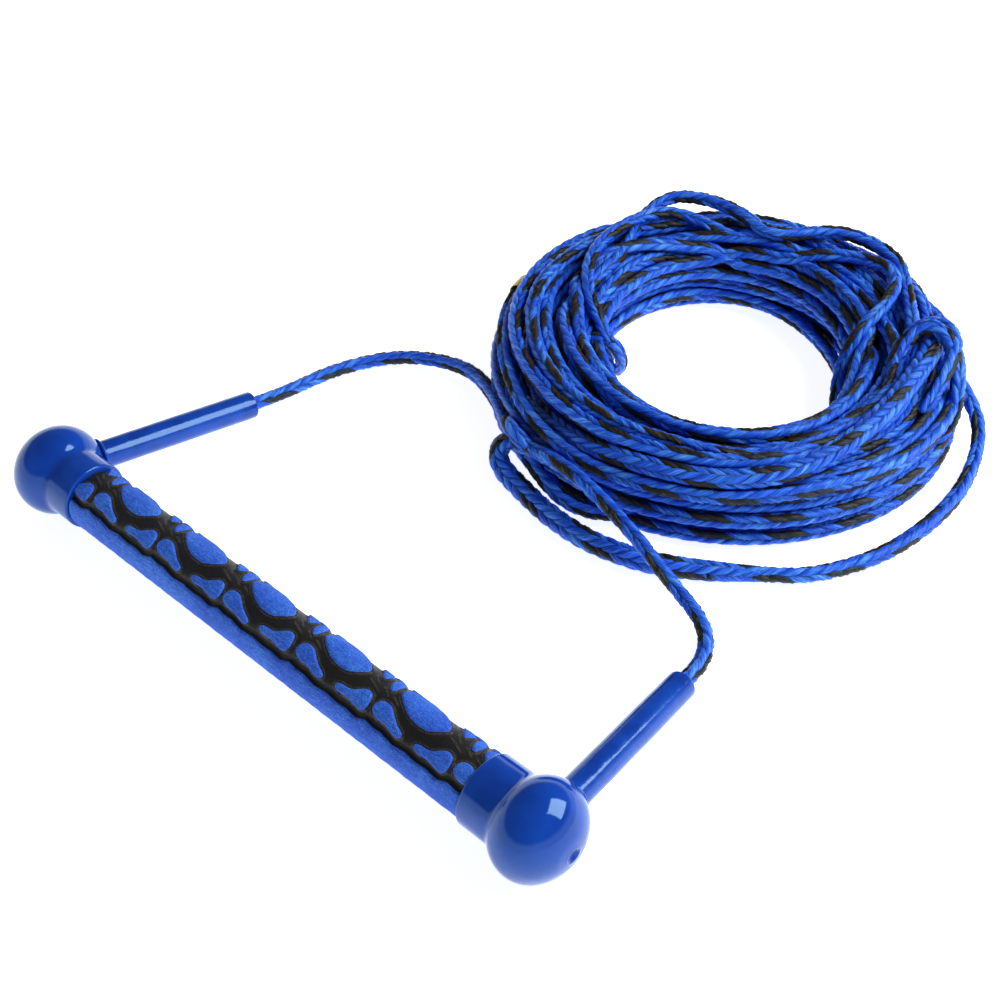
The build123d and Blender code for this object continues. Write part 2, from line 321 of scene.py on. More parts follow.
# ---- finishes --------------------------------------------------------------------------
@dataclass(frozen=True)
class RopeYarn:
    """Polypropylene yarn: full bundles of fine filaments, all blue but two black."""

    name: str
    deep: Colour = dye(10, 40, 150)
    body: Colour = dye(30, 90, 228)
    bright: Colour = dye(96, 176, 255)
    black: Colour = dye(12, 8, 3)
    black_bright: Colour = dye(66, 50, 26)
    # Painted shade: the near-black blue that yarn is darkened towards where it dips under others
    # and at its edges.
    shade: Colour = dye(1, 3, 22)
    gleam: Colour = (0.45, 0.8, 1.0, 1.0)
    black_carriers: int = 2

    def material(self) -> bpy.types.Material:
        """Filaments run along the yarn map's second axis, and its first counts carriers."""
        s = Shader(self.name)
        yarn = s.uv("yarn")
        fine = s.noise(s.stretch(yarn, (13.0, 0.9, 1.0)), 1.0, 3.0, 0.65)
        broad = s.noise(s.stretch(yarn, (1.9, 0.55, 1.0)), 1.0, 2.0)
        tone = s.math("ADD", s.math("MULTIPLY", fine, 0.55), s.math("MULTIPLY", broad, 0.45))
        blue = s.ramp(tone, (0.32, self.deep), (0.5, self.body), (0.66, self.bright))
        dark = s.ramp(tone, (0.4, self.black), (0.68, self.black_bright))
        count = s.add("SeparateXYZ", yarn)
        is_black = s.math("LESS_THAN", count, float(self.black_carriers))
        yarns = s.blend(is_black, blue, dark)
        # Painted shade: the yarn colour is darkened towards the shade colour where the yarn dips
        # under others and at its edges.
        hidden = s.math("POWER", s.attribute("tuck"), 1.3)
        s.join(Base_Color=s.blend(s.math("MULTIPLY", hidden, 0.96), yarns, self.shade))
        s.join(Roughness=s.span(fine, 0.3, 0.7, 0.26, 0.46))
        s.bump(fine, 0.8, 0.0005)
        s.set(Specular_IOR_Level=0.42, Specular_Tint=self.gleam)
        return s.material


@dataclass(frozen=True)
class GlossyVinyl:
    """Dipped soft vinyl: an even, wet-looking skin with faint flow marks."""

    name: str
    body: Colour = dye(16, 68, 170)
    deep: Colour = dye(12, 56, 152)
    gleam: Colour = (0.42, 0.8, 1.0, 1.0)
    roughness: tuple[float, float] = (0.07, 0.12)
    flow: float = 60.0

    def material(self) -> bpy.types.Material:
        """Flow marks and colour follow slow noise, and dust only dulls the gloss a little."""
        s = Shader(self.name)
        slow = s.noise(s.place(), self.flow, 2.0)
        dust = s.noise(s.place(), 1400.0, 2.0)
        s.join(Base_Color=s.ramp(slow, (0.35, self.deep), (0.62, self.body)))
        s.join(Roughness=s.span(s.math("ADD", s.math("MULTIPLY", slow, 0.6),
                                       s.math("MULTIPLY", dust, 0.4)),
                                0.35, 0.65, *self.roughness))
        s.bump(s.math("ADD", slow, s.math("MULTIPLY", dust, 0.02)), 0.3, 0.0012)
        s.set(Specular_IOR_Level=0.42, Specular_Tint=self.gleam, Coat_Weight=0.25,
              Coat_Roughness=0.04, Coat_Tint=self.gleam)
        return s.material


@dataclass(frozen=True)
class GripFoam:
    """Closed-cell foam: blue raised skin over a dark moulded bed, whose thin raised ridges get a
    painted highlight.
    """

    name: str
    blue: Colour = dye(36, 92, 212)
    blue_pale: Colour = dye(84, 152, 244)
    blue_deep: Colour = dye(22, 58, 166)
    bed: Colour = dye(10, 8, 5)
    bed_pale: Colour = dye(34, 31, 26)
    # Painted highlight: the pale colour laid along the thin raised ridges of the dark bed.
    crease: Colour = dye(112, 102, 84)

    def material(self) -> bpy.types.Material:
        """The attributes pad and lip, in millimetres, say where the blue skin ends and where the
        ridges get their painted highlight.
        """
        s = Shader(self.name)
        pad, lip = s.attribute("pad"), s.attribute("lip")
        spot = s.place()
        cells = s.noise(spot, 2600.0, 3.0, 0.65)
        along = s.noise(s.stretch(spot, (380.0, 1300.0, 1300.0)), 1.0, 3.0, 0.6)
        slow = s.noise(spot, 55.0, 2.0)
        tone = s.math("ADD", s.math("MULTIPLY", cells, 0.6),
                      s.math("ADD", s.math("MULTIPLY", along, 0.25),
                             s.math("MULTIPLY", slow, 0.15)))
        blue = s.ramp(tone, (0.38, self.blue_deep), (0.5, self.blue), (0.63, self.blue_pale))
        bed = s.ramp(tone, (0.4, self.bed), (0.62, self.bed_pale))
        ragged = s.math("ADD", pad, s.math("MULTIPLY", s.math("SUBTRACT", cells, 0.5), 0.25))
        # Painted highlight along the ridges, patchy along the bar.
        ridge_highlight = s.math("MULTIPLY", lip, s.span(along, 0.38, 0.62, 0.25, 1.0))
        dark = s.blend(s.math("MULTIPLY", ridge_highlight, 0.62), bed, self.crease)
        edge = s.span(ragged, -0.05, 0.10)
        s.join(Base_Color=s.blend(edge, dark, blue))
        s.join(Roughness=s.span(edge, 0.0, 1.0, 0.42, 0.74))
        s.bump(s.math("ADD", s.math("MULTIPLY", cells, 0.6), s.math("MULTIPLY", along, 0.6)),
               0.5, 0.0004)
        s.set(Specular_IOR_Level=0.34, Sheen_Weight=0.05, Sheen_Roughness=0.55,
              Sheen_Tint=self.blue_pale)
        return s.material


@dataclass(frozen=True)
class HiddenStuff:
    """A plain finish for the parts inside the bar: metal, foam, plastic or rope."""

    name: str
    low: Colour
    high: Colour
    scale: Point
    roughness: float
    metallic: float = 0.0

    def material(self) -> bpy.types.Material:
        """Colour and bump follow one stretched noise."""
        s = Shader(self.name)
        grain = s.noise(s.stretch(s.place(), self.scale), 1.0, 3.0)
        s.join(Base_Color=s.ramp(grain, (0.35, self.low), (0.65, self.high)))
        s.join(Roughness=s.span(grain, 0.3, 0.7, self.roughness - 0.08, self.roughness + 0.08))
        s.bump(grain, 0.3, 0.0003)
        s.set(Metallic=self.metallic)
        return s.material


@dataclass(frozen=True)
class MarkerTape:
    """Yellow vinyl tape, a little creased, and darker yellow where its creases lie low."""

    name: str
    body: Colour = dye(250, 205, 22)
    # A darker yellow where the creases' bump lies low.
    worn: Colour = dye(206, 150, 10)

    def material(self) -> bpy.types.Material:
        """Creases run across the tape, and it is darker yellow where they lie low."""
        s = Shader(self.name)
        folds = s.noise(s.place(), 420.0, 3.0, 0.6)
        s.join(Base_Color=s.ramp(folds, (0.34, self.worn), (0.52, self.body)))
        s.join(Roughness=s.span(folds, 0.3, 0.7, 0.28, 0.44))
        s.bump(folds, 0.5, 0.0006)
        s.set(Specular_IOR_Level=0.5, Coat_Weight=0.2, Coat_Roughness=0.2)
        return s.material


# ---- ropes -----------------------------------------------------------------------------
def route_line(points: list[Point] | np.ndarray, step: float) -> np.ndarray:
    """Evenly spaced points read from the smooth spline of a rope's route.

    Args:
        points: The route's control points.
        step: About how far apart the points read from it lie.

    Returns:
        The points along the rope's centreline, one row each.
    """
    curve = bpy.data.curves.new("route", "CURVE")
    curve.dimensions = "3D"
    spline = curve.splines.new("NURBS")
    spline.points.add(len(points) - 1)
    spline.points.foreach_set("co", np.c_[np.array(points), np.ones(len(points))].ravel())
    spline.order_u = 3
    spline.use_endpoint_u = True
    spline.resolution_u = 10
    carrier = bpy.data.objects.new("route", curve)
    mesh = bpy.data.meshes.new_from_object(carrier)
    found = np.empty(len(mesh.vertices) * 3)
    mesh.vertices.foreach_get("co", found)
    bpy.data.meshes.remove(mesh)
    bpy.data.objects.remove(carrier)
    bpy.data.curves.remove(curve)
    found = found.reshape(-1, 3)
    run = np.r_[0.0, np.cumsum(np.linalg.norm(np.diff(found, axis=0), axis=1))]
    even = np.linspace(0.0, run[-1], max(4, round(run[-1] / step) + 1))
    return np.stack([np.interp(even, run, found[:, axis]) for axis in range(3)], axis=1)


def line_length(line: np.ndarray) -> float:
    """Length of a centreline."""
    return float(np.linalg.norm(np.diff(line, axis=0), axis=1).sum())


@dataclass(frozen=True)
class Braid:
    """A hollow braid of eight full yarns, four winding each way."""

    diameter: float = 0.008
    pitch: float = 0.036
    yarn_width: float = 0.0035
    yarn_rise: float = 0.0013
    weave_depth: float = 0.0010
    each_way: int = 4
    columns: int = 2               # rows of stitches round half the rope
    ring_step: float = 0.0020
    weave_snap: float = 1.6        # how quickly a yarn goes from over to under
    tuck_middle: float = 0.42      # painted shade of a yarn half way between over and under
    tuck_swing: float = 0.6        # and how much that painted shade changes over and under
    twist: float = 0.6             # slow turn of the whole rope, turns per metre
    bake_share: float = 0.84       # of a bake row's height that the yarn fills

    SECTION_ACROSS = (-0.5, -0.36, -0.13, 0.13, 0.36, 0.5, 0.0)
    SECTION_HEIGHT = (0.0, 0.66, 1.0, 1.0, 0.66, 0.0, -0.6)
    SECTION_U = (0.0, 0.14, 0.38, 0.62, 0.86, 1.0, 0.5)
    # Painted shade at each corner of a yarn's section: full at its edges and underside, none on its
    # crown.
    SECTION_SHADE = (1.0, 0.42, 0.0, 0.0, 0.42, 1.0, 1.0)

    def frames(self, line: np.ndarray) -> tuple[np.ndarray, np.ndarray, np.ndarray]:
        """Directions along and across a line that don't spin about it.

        Args:
            line: The centreline's points.

        Returns:
            The direction along the line and two directions across it, at each point.
        """
        ahead = np.gradient(line, axis=0)
        ahead /= np.linalg.norm(ahead, axis=1)[:, None]
        across = np.empty_like(line)
        first = np.cross(ahead[0], (0.0, 0.0, 1.0))
        across[0] = first / np.linalg.norm(first)
        for i in range(1, len(line)):
            kept = across[i - 1] - ahead[i] * across[i - 1].dot(ahead[i])
            across[i] = kept / np.linalg.norm(kept)
        return ahead, across, np.cross(ahead, across)

    def yarns(self, line: np.ndarray, girth: np.ndarray, phase: float,
              frames: tuple[np.ndarray, ...]) -> np.ndarray:
        """Where each yarn's cross-sections lie.

        Args:
            line: The centreline's points.
            girth: The rope's diameter at each point, as a share of its usual one.
            phase: Length of rope before the line's first point.
            frames: What frames() gives for the line.

        Returns:
            By yarn, point along the line and corner of the section: the place, and how
            much painted shade it gets there, from 0 to 1, more where it is tucked under and at its
            edges.
        """
        ahead, side, up = frames
        run = phase + np.r_[0.0, np.cumsum(np.linalg.norm(np.diff(line, axis=0), axis=1))]
        core = self.diameter / 2 - self.weave_depth - self.yarn_rise
        slant = math.atan(2 * math.pi * core / self.pitch)
        snap = math.tanh(self.weave_snap)
        out = np.empty((2 * self.each_way, len(line), len(self.SECTION_ACROSS), 4))
        for yarn in range(2 * self.each_way):
            way = 1 if yarn < self.each_way else -1
            shift = 0.0 if way > 0 else math.pi / self.each_way
            start = 2 * math.pi * (yarn % self.each_way) / self.each_way + shift
            for corner, (share, height, edge) in enumerate(
                    zip(self.SECTION_ACROSS, self.SECTION_HEIGHT, self.SECTION_SHADE)):
                offset = share * self.yarn_width
                turn = way * 2 * math.pi * run / self.pitch + start
                turn = turn + offset * math.cos(slant) / core
                level = np.tanh(self.weave_snap * np.cos(self.columns * turn)) / snap
                reach = core + way * self.weave_depth * level + height * self.yarn_rise
                turn = turn + 2 * math.pi * self.twist * run
                slide = -way * math.sin(slant) * offset
                # Painted shade, 0 to 1: more where the yarn dips under the crossing yarns, and at
                # its edges.
                tuck = self.tuck_middle - self.tuck_swing * way * level + edge
                out[yarn, :, corner, 3] = np.clip(tuck, 0, 1)
                out[yarn, :, corner, :3] = (
                    line + ahead * slide
                    + (side * np.cos(turn)[:, None] + up * np.sin(turn)[:, None])
                    * (reach * girth)[:, None])
        return out

    def piece(self, name: str, line: np.ndarray, material: bpy.types.Material,
              phase: float = 0.0, girth: np.ndarray | None = None,
              frames: tuple[np.ndarray, ...] | None = None) -> bpy.types.Object:
        """Builds the braid round a centreline.

        Args:
            name: The piece's name.
            line: The centreline's points, about ring_step apart.
            material: The yarn's material.
            phase: Length of rope before the line's first point.
            girth: Share of the usual diameter at each point, or None for all 1.
            frames: Directions along and across the line, or None to work them out.

        Returns:
            The new piece.
        """
        girth = np.ones(len(line)) if girth is None else girth
        places = self.yarns(line, girth, phase, frames or self.frames(line))
        yarns, rings, corners = places.shape[:3]
        index = np.arange(yarns * rings * corners).reshape(yarns, rings, corners)
        after = np.roll(index, -1, axis=2)
        quads = np.stack([index[:, :-1], after[:, :-1], after[:, 1:], index[:, 1:]], axis=-1)
        ends = np.concatenate([index[:, 0, ::-1], index[:, -1]])
        mesh = bpy.data.meshes.new(name)
        mesh.vertices.add(index.size)
        mesh.vertices.foreach_set("co", places[..., :3].astype(np.float32).ravel())
        flat = np.r_[quads.reshape(-1), ends.reshape(-1)]
        starts = np.r_[np.arange(quads.size // 4) * 4,
                       quads.size + np.arange(len(ends)) * corners]
        mesh.loops.add(len(flat))
        mesh.loops.foreach_set("vertex_index", flat.astype(np.int32))
        mesh.polygons.add(len(starts))
        mesh.polygons.foreach_set("loop_start", starts.astype(np.int32))
        mesh.update(calc_edges=True)
        mesh.polygons.foreach_set("use_smooth", np.ones(len(starts), bool))
        self.map_yarns(mesh, quads.shape[:3], len(ends), phase)
        # The painted shade goes to the finish as a point attribute.
        tuck = mesh.attributes.new("tuck", "FLOAT", "POINT")
        tuck.data.foreach_set("value", places[..., 3].astype(np.float32).ravel())
        mesh.materials.append(material)
        mesh.validate()
        rope = bpy.data.objects.new(name, mesh)
        bpy.context.collection.objects.link(rope)
        return rope

    def map_yarns(self, mesh: bpy.types.Mesh, shape: tuple[int, int, int], ends: int,
                  phase: float) -> None:
        """Writes the yarn map, which the finish reads, and a packed one for baking.

        Args:
            mesh: The rope's mesh.
            shape: Number of yarns, of stretches along each, and of faces round each.
            ends: Number of end faces, which come last.
            phase: Length of rope before the first ring.
        """
        yarns, runs, corners = shape
        yarn, run, corner = np.meshgrid(*(np.arange(n) for n in shape), indexing="ij")
        here = np.array(self.SECTION_U)
        u = np.stack([here[corner], np.roll(here, -1)[corner], np.roll(here, -1)[corner],
                      here[corner]], axis=-1)
        v = np.stack([run, run, run + 1, run + 1], axis=-1)
        centimetres = (v * self.ring_step + phase) * 100
        pattern = np.stack([yarn[..., None] + 0.02 + 0.96 * u, centimetres], axis=-1)
        strips = yarns * runs
        rows = max(1, round(math.sqrt(strips * self.ring_step * self.bake_share
                                      / self.yarn_width)))
        per_row = math.ceil(strips / rows)
        strip = yarn * runs + run
        along = (strip % per_row)[..., None] + np.array([0, 0, 1, 1])
        up = (strip // per_row)[..., None] + (1 - self.bake_share) / 2 + self.bake_share * u
        packed = np.stack([along / per_row, up / rows], axis=-1)
        for name, coordinates in (("yarn", pattern), ("OFBake", packed)):
            layer = mesh.uv_layers.new(name=name)
            rest = np.tile(coordinates.reshape(-1, 2)[:1], (ends * corners, 1))
            layer.uv.foreach_set("vector", np.r_[coordinates.reshape(-1, 2), rest].ravel())


@dataclass
class Layout:
    """Places on the handle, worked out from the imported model."""

    toe_in: float = math.radians(7.1)
    knob_radius: float = 0.02225
    tip_round: float = 0.0012
    sleeve_radius: float = 0.007
    sleeve_tip: float = 0.110
    knob_x: float = 0.1555

    def __post_init__(self) -> None:
        """Finds the bar's axis and how far the sleeves slope down to rest on their tips."""
        low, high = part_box("bar_tube")
        self.bar_y = (low.y + high.y) / 2
        self.bar_z = (low.z + high.z) / 2
        edge = 0.99 * (self.sleeve_radius - self.tip_round)
        self.drop = math.asin((self.knob_radius - self.tip_round - edge)
                              / (self.sleeve_tip - self.tip_round))

    def on_bar(self, x: float, y: float, z: float) -> Point:
        """A point given from the middle of the bar's axis, and height above the ground."""
        return x, self.bar_y + y, z

    def sleeve_way(self, side: Side) -> Vector:
        """Unit vector out of a knob along its sleeve."""
        level = math.cos(self.drop)
        return Vector((-side.value * math.sin(self.toe_in) * level,
                       math.cos(self.toe_in) * level, -math.sin(self.drop)))

    def along(self, side: Side, distance: float) -> Point:
        """A point on a sleeve's axis, this far from the knob's centre."""
        centre = Vector((side.value * self.knob_x, self.bar_y, self.bar_z))
        return tuple(centre + self.sleeve_way(side) * distance)


@dataclass
class Rope:
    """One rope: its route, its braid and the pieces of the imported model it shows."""

    name: str
    route: list[Point]
    braid: Braid
    nodes: tuple[str, ...] = ()
    far_end: str = "object"
    lay: str = "loose"
    phase: float = 0.0
    taper: tuple[float, ...] = (1.0, 1.0)

    def build(self, material: bpy.types.Material, body: str | None = HANDLE) -> bpy.types.Object:
        """Args:
            material: The yarn's material.
            body: The body it rides on, or None to put it on no body.

        Returns:
            The rope.
        """
        line = route_line(self.route, self.braid.ring_step)
        girth = np.interp(np.linspace(0, 1, len(line)), np.linspace(0, 1, len(self.taper)),
                          self.taper)
        rope = self.braid.piece(self.name, line, material, self.phase, girth)
        if body:
            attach(rope, body)
        if self.nodes:
            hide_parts(*self.nodes)
        return rope


LINE_BRAID = Braid()
SPLICE_BRAID = Braid(diameter=0.0115, pitch=0.043, yarn_width=0.0039, yarn_rise=0.0012,
                     weave_depth=0.0009, each_way=6, columns=3)


@dataclass
class Bridle:
    """The two legs from the finger sleeves, their knot and the spliced lead."""

    place: Layout
    inside: float = 0.096          # where the leg takes over from the rope in the sleeve
    follow: float = 0.085          # a length past the sleeve's tip along its axis; the point it gives is not used

    def leg_route(self, side: Side) -> list[Point]:
        """Control points of one leg, from inside its sleeve to the middle of the knot."""
        bar = self.place.on_bar
        begin = [self.place.along(side, self.inside), self.place.along(side, 0.1106)]
        if side is Side.LEFT:
            return begin + [bar(-.1392, .130, .0043), bar(-.1345, .163, .0043),
                            bar(-.116, .195, .005), bar(-.078, .206, .010),
                            bar(-.045, .191, .015), bar(-.022, .175, .0175),
                            bar(-.0095, .1675, .0195)]
        return begin + [bar(.1393, .129, .0043), bar(.127, .145, .005), bar(.102, .149, .013),
                        bar(.076, .153, .024), bar(.044, .158, .031), bar(.014, .164, .0275),
                        bar(-.0095, .1675, .0195)]

    def lead_route(self) -> tuple[list[Point], list[Point]]:
        """Control points of the spliced start of the lead and of the lead after it."""
        bar = self.place.on_bar
        splice = [bar(.005, .1700, .0160), bar(-.006, .1705, .0200), bar(-.0155, .1685, .0190),
                  bar(-.0185, .163, .0130), bar(-.0120, .1585, .0080), bar(.005, .1552, .0062),
                  bar(.028, .1500, .0059), bar(.060, .1495, .0059),
                  bar(.097, .163, .0059), bar(.1255, .187, .0057)]
        lead = [bar(.107, .1705, .0057), bar(.1255, .187, .0057), bar(.144, .202, .0054),
                bar(.160, .236, .0044), bar(.165, .272, .0043), bar(.163, .305, .0043),
                bar(.154, .334, .007), bar(.142, .350, .016), bar(.126, .354, .025)]
        return splice, lead

    def knot_routes(self) -> dict[str, list[Point]]:
        """Control points of the splice's eye round the bridle, and of the tail under it."""
        bar = self.place.on_bar
        return {
            "bridle_eye_rope": [bar(-.0205, .1815, .012), bar(-.0235, .1765, .0205),
                                bar(-.0190, .1700, .0260), bar(-.0105, .1655, .0280),
                                bar(-.0020, .1650, .0250), bar(.0045, .1690, .0185),
                                bar(.0090, .1745, .0110)],
            "bridle_tail_rope": [bar(-.003, .1690, .0125), bar(.006, .1650, .0130),
                                 bar(.016, .1615, .0120), bar(.028, .1600, .0095),
                                 bar(.040, .1635, .0075), bar(.050, .1700, .0075),
                                 bar(.058, .1780, .0090), bar(.064, .1860, .0100)]}

    def build(self, yarn: bpy.types.Material) -> None:
        """Makes the legs, the ropes inside the sleeves, the knot and the lead."""
        for side in Side:
            core_node = f"{side.word}_rope_core"
            core = [self.place.along(side, d) for d in (0.0162, 0.05, 0.075, self.inside)]
            Rope(f"{side.word}_sleeve_rope", core, LINE_BRAID, (core_node,),
                 phase=-self.inside + 0.0162).build(yarn, side.guard)
            leg = Rope(f"bridle_rope_{side.word}", self.leg_route(side), LINE_BRAID,
                       (f"bridle_leg_{side.word}",)).build(yarn, None)
            tip = Vector(self.place.along(side, self.place.sleeve_tip))
            tuple(tip + self.place.sleeve_way(side) * self.follow)
            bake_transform(leg)
        for name, route in self.knot_routes().items():
            Rope(name, route, LINE_BRAID, ("bridle_knot",), phase=0.017).build(yarn)
        splice, lead = self.lead_route()
        Rope("lead_splice_rope", splice, SPLICE_BRAID, ("lead_splice",),
             taper=(.7, .9, 1.0, 1.0, 1.0, 1.0, 1.0, .93, .7)).build(yarn)
        Rope("lead_rope", lead, LINE_BRAID, ("lead_line",), taper=(1.06, 1.0)).build(yarn)


@dataclass
class EndCap:
    """A squat glossy knob with a collar over the foam's end and a seat for its sleeve."""

    place: Layout
    side: Side
    half_width: float = 0.0185
    radius: float = 0.02225
    collar: float = 0.01675
    collar_end: float = 0.029
    collar_round: float = 0.0012
    neck: float = 0.005
    bore: float = 0.01275
    bore_end: float = 0.0132
    flat: float = 0.006
    dimple: float = 0.003
    dimple_depth: float = 0.0016
    rim: float = 0.0007
    seat_out: float = 0.0215
    seat: float = 0.0073
    hole: float = 0.0043

    def knob(self, turn: float) -> tuple[float, float]:
        """A point of the knob's half section, turn in degrees from its outer pole."""
        a = math.radians(turn)
        return self.half_width * math.cos(a), self.radius * math.sin(a)

    def neck_arc(self) -> tuple[list[tuple[float, float]], float]:
        """The hollow that runs from the knob down to the collar.

        Returns:
            Its corners, and the turn at which it leaves the knob.
        """
        best = (1.0, 0.0, 0.0)
        for turn in np.linspace(95, 150, 1101):
            x, r = self.knob(turn)
            out = Vector((x / self.half_width ** 2, r / self.radius ** 2)).normalized()
            miss = abs(r + out.y * self.neck - self.collar - self.neck)
            best = min(best, (miss, turn, x + out.x * self.neck))
        _, turn, middle = best
        x, r = self.knob(turn)
        start = math.degrees(math.atan2(r - self.collar - self.neck, x - middle))
        return arc((middle, self.collar + self.neck), self.neck, start, -90, 9), turn

    def profile(self) -> list[tuple[float, float]]:
        """Half section from the blind end of the bore, round the collar, to the dimple."""
        neck, leave = self.neck_arc()
        flat_turn = math.degrees(math.asin(self.flat / self.radius))
        knob = [self.knob(t) for t in np.linspace(leave, flat_turn + 5, 34)]
        face = self.knob(flat_turn)[0]
        edge = (-self.collar_end + self.collar_round, self.collar - self.collar_round)
        ball = (self.dimple ** 2 + self.dimple_depth ** 2) / (2 * self.dimple_depth)
        turn = math.degrees(math.asin(self.dimple / ball))
        pit = arc((face + ball - self.dimple_depth, 0), ball, 180 - turn, 180, 7)[1:]
        return ([(self.bore_end, 0), (self.bore_end, self.bore), (-self.collar_end, self.bore)]
                + arc(edge, self.collar_round, 180, 90, 6)
                + neck[::-1] + knob[1:]
                + [(face - 0.0001, self.flat - 0.0004), (face, self.flat - 0.0012),
                   (face + 0.0002, self.dimple + 0.0011), (face + 0.0003, self.dimple + 0.0006),
                   (face + 0.0001, self.dimple + 0.0002)] + pit)

    def build(self, vinyl: bpy.types.Material) -> None:
        """Turns the cap, adds the rolled rim at the seat and hollows the seat out."""
        word = self.side.word
        centre = Vector(self.place.along(self.side, 0))
        cap = turned(self.profile(), centre, Vector((self.side.value, 0, 0)), 96)
        way = self.place.sleeve_way(self.side)
        roll = arc((self.seat_out + 0.0002, self.seat + self.rim), 1.3 * self.rim, 0, 360, 13)
        rim = turned(roll, centre, way, 56)
        cut(cap, rim, "UNION")
        deselect()
        bpy.ops.mesh.primitive_uv_sphere_add(
            segments=56, ring_count=32, radius=self.seat,
            location=self.place.along(self.side, self.seat_out))
        cut(cap, bpy.context.active_object, "DIFFERENCE")
        hole = turned([(0.0, 0.0), (0.0, self.hole), (self.seat_out, self.hole),
                       (self.seat_out, 0.0)], centre, way, 32)
        cut(cap, hole, "DIFFERENCE")
        finish_mesh(cap, f"{word}_cap_skin", vinyl, MOULDED_EDGE)
        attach(cap, HANDLE)
        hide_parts(f"{word}_end_cap")
        log.info("%s: turned knob, %d faces", cap.name, len(cap.data.polygons))


@dataclass
class FingerSleeve:
    """The dipped vinyl tube over the rope where fingers would rub."""

    place: Layout
    side: Side
    radius: float = 0.007
    bore: float = 0.0042
    root: float = 0.0215
    tip: float = 0.110
    tip_round: float = 0.0012
    mouth: float = 0.0005
    ripple: float = 0.00006
    ring_every: float = 0.003

    def profile(self) -> list[tuple[float, float]]:
        """Half section: domed root, a faintly uneven tube, a rounded tip and the bore."""
        rng = np.random.default_rng(5 + self.side.value)
        mouth_turn = math.degrees(math.asin(self.bore / self.radius))
        root = arc((self.root, 0), self.radius, 180 - mouth_turn, 90, 12)
        rings = np.arange(self.root + 4 * self.ring_every, self.tip - 2 * self.tip_round,
                          self.ring_every)
        sway = np.convolve(rng.normal(0, 1, len(rings) + 4), np.ones(5) / 5, mode="valid")
        tube = [(d, self.radius + self.ripple * w) for d, w in zip(rings, sway)]
        tip = arc((self.tip - self.tip_round, self.radius - self.tip_round), self.tip_round,
                  90, 0, 6)
        return (root + tube + tip
                + [(self.tip, self.bore + self.mouth), (self.tip - self.mouth, self.bore),
                   (root[0][0], self.bore)])

    def build(self, vinyl: bpy.types.Material) -> None:
        """Turns the sleeve; it swings with its guard."""
        centre = Vector(self.place.along(self.side, 0))
        sleeve = turned(self.profile(), centre, self.place.sleeve_way(self.side), 56)
        finish_mesh(sleeve, f"{self.side.word}_sleeve_skin", vinyl, MOULDED_EDGE)
        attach(sleeve, self.side.guard)
        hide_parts(f"{self.side.word}_sleeve")
        log.info("%s: %d faces", sleeve.name, len(sleeve.data.polygons))


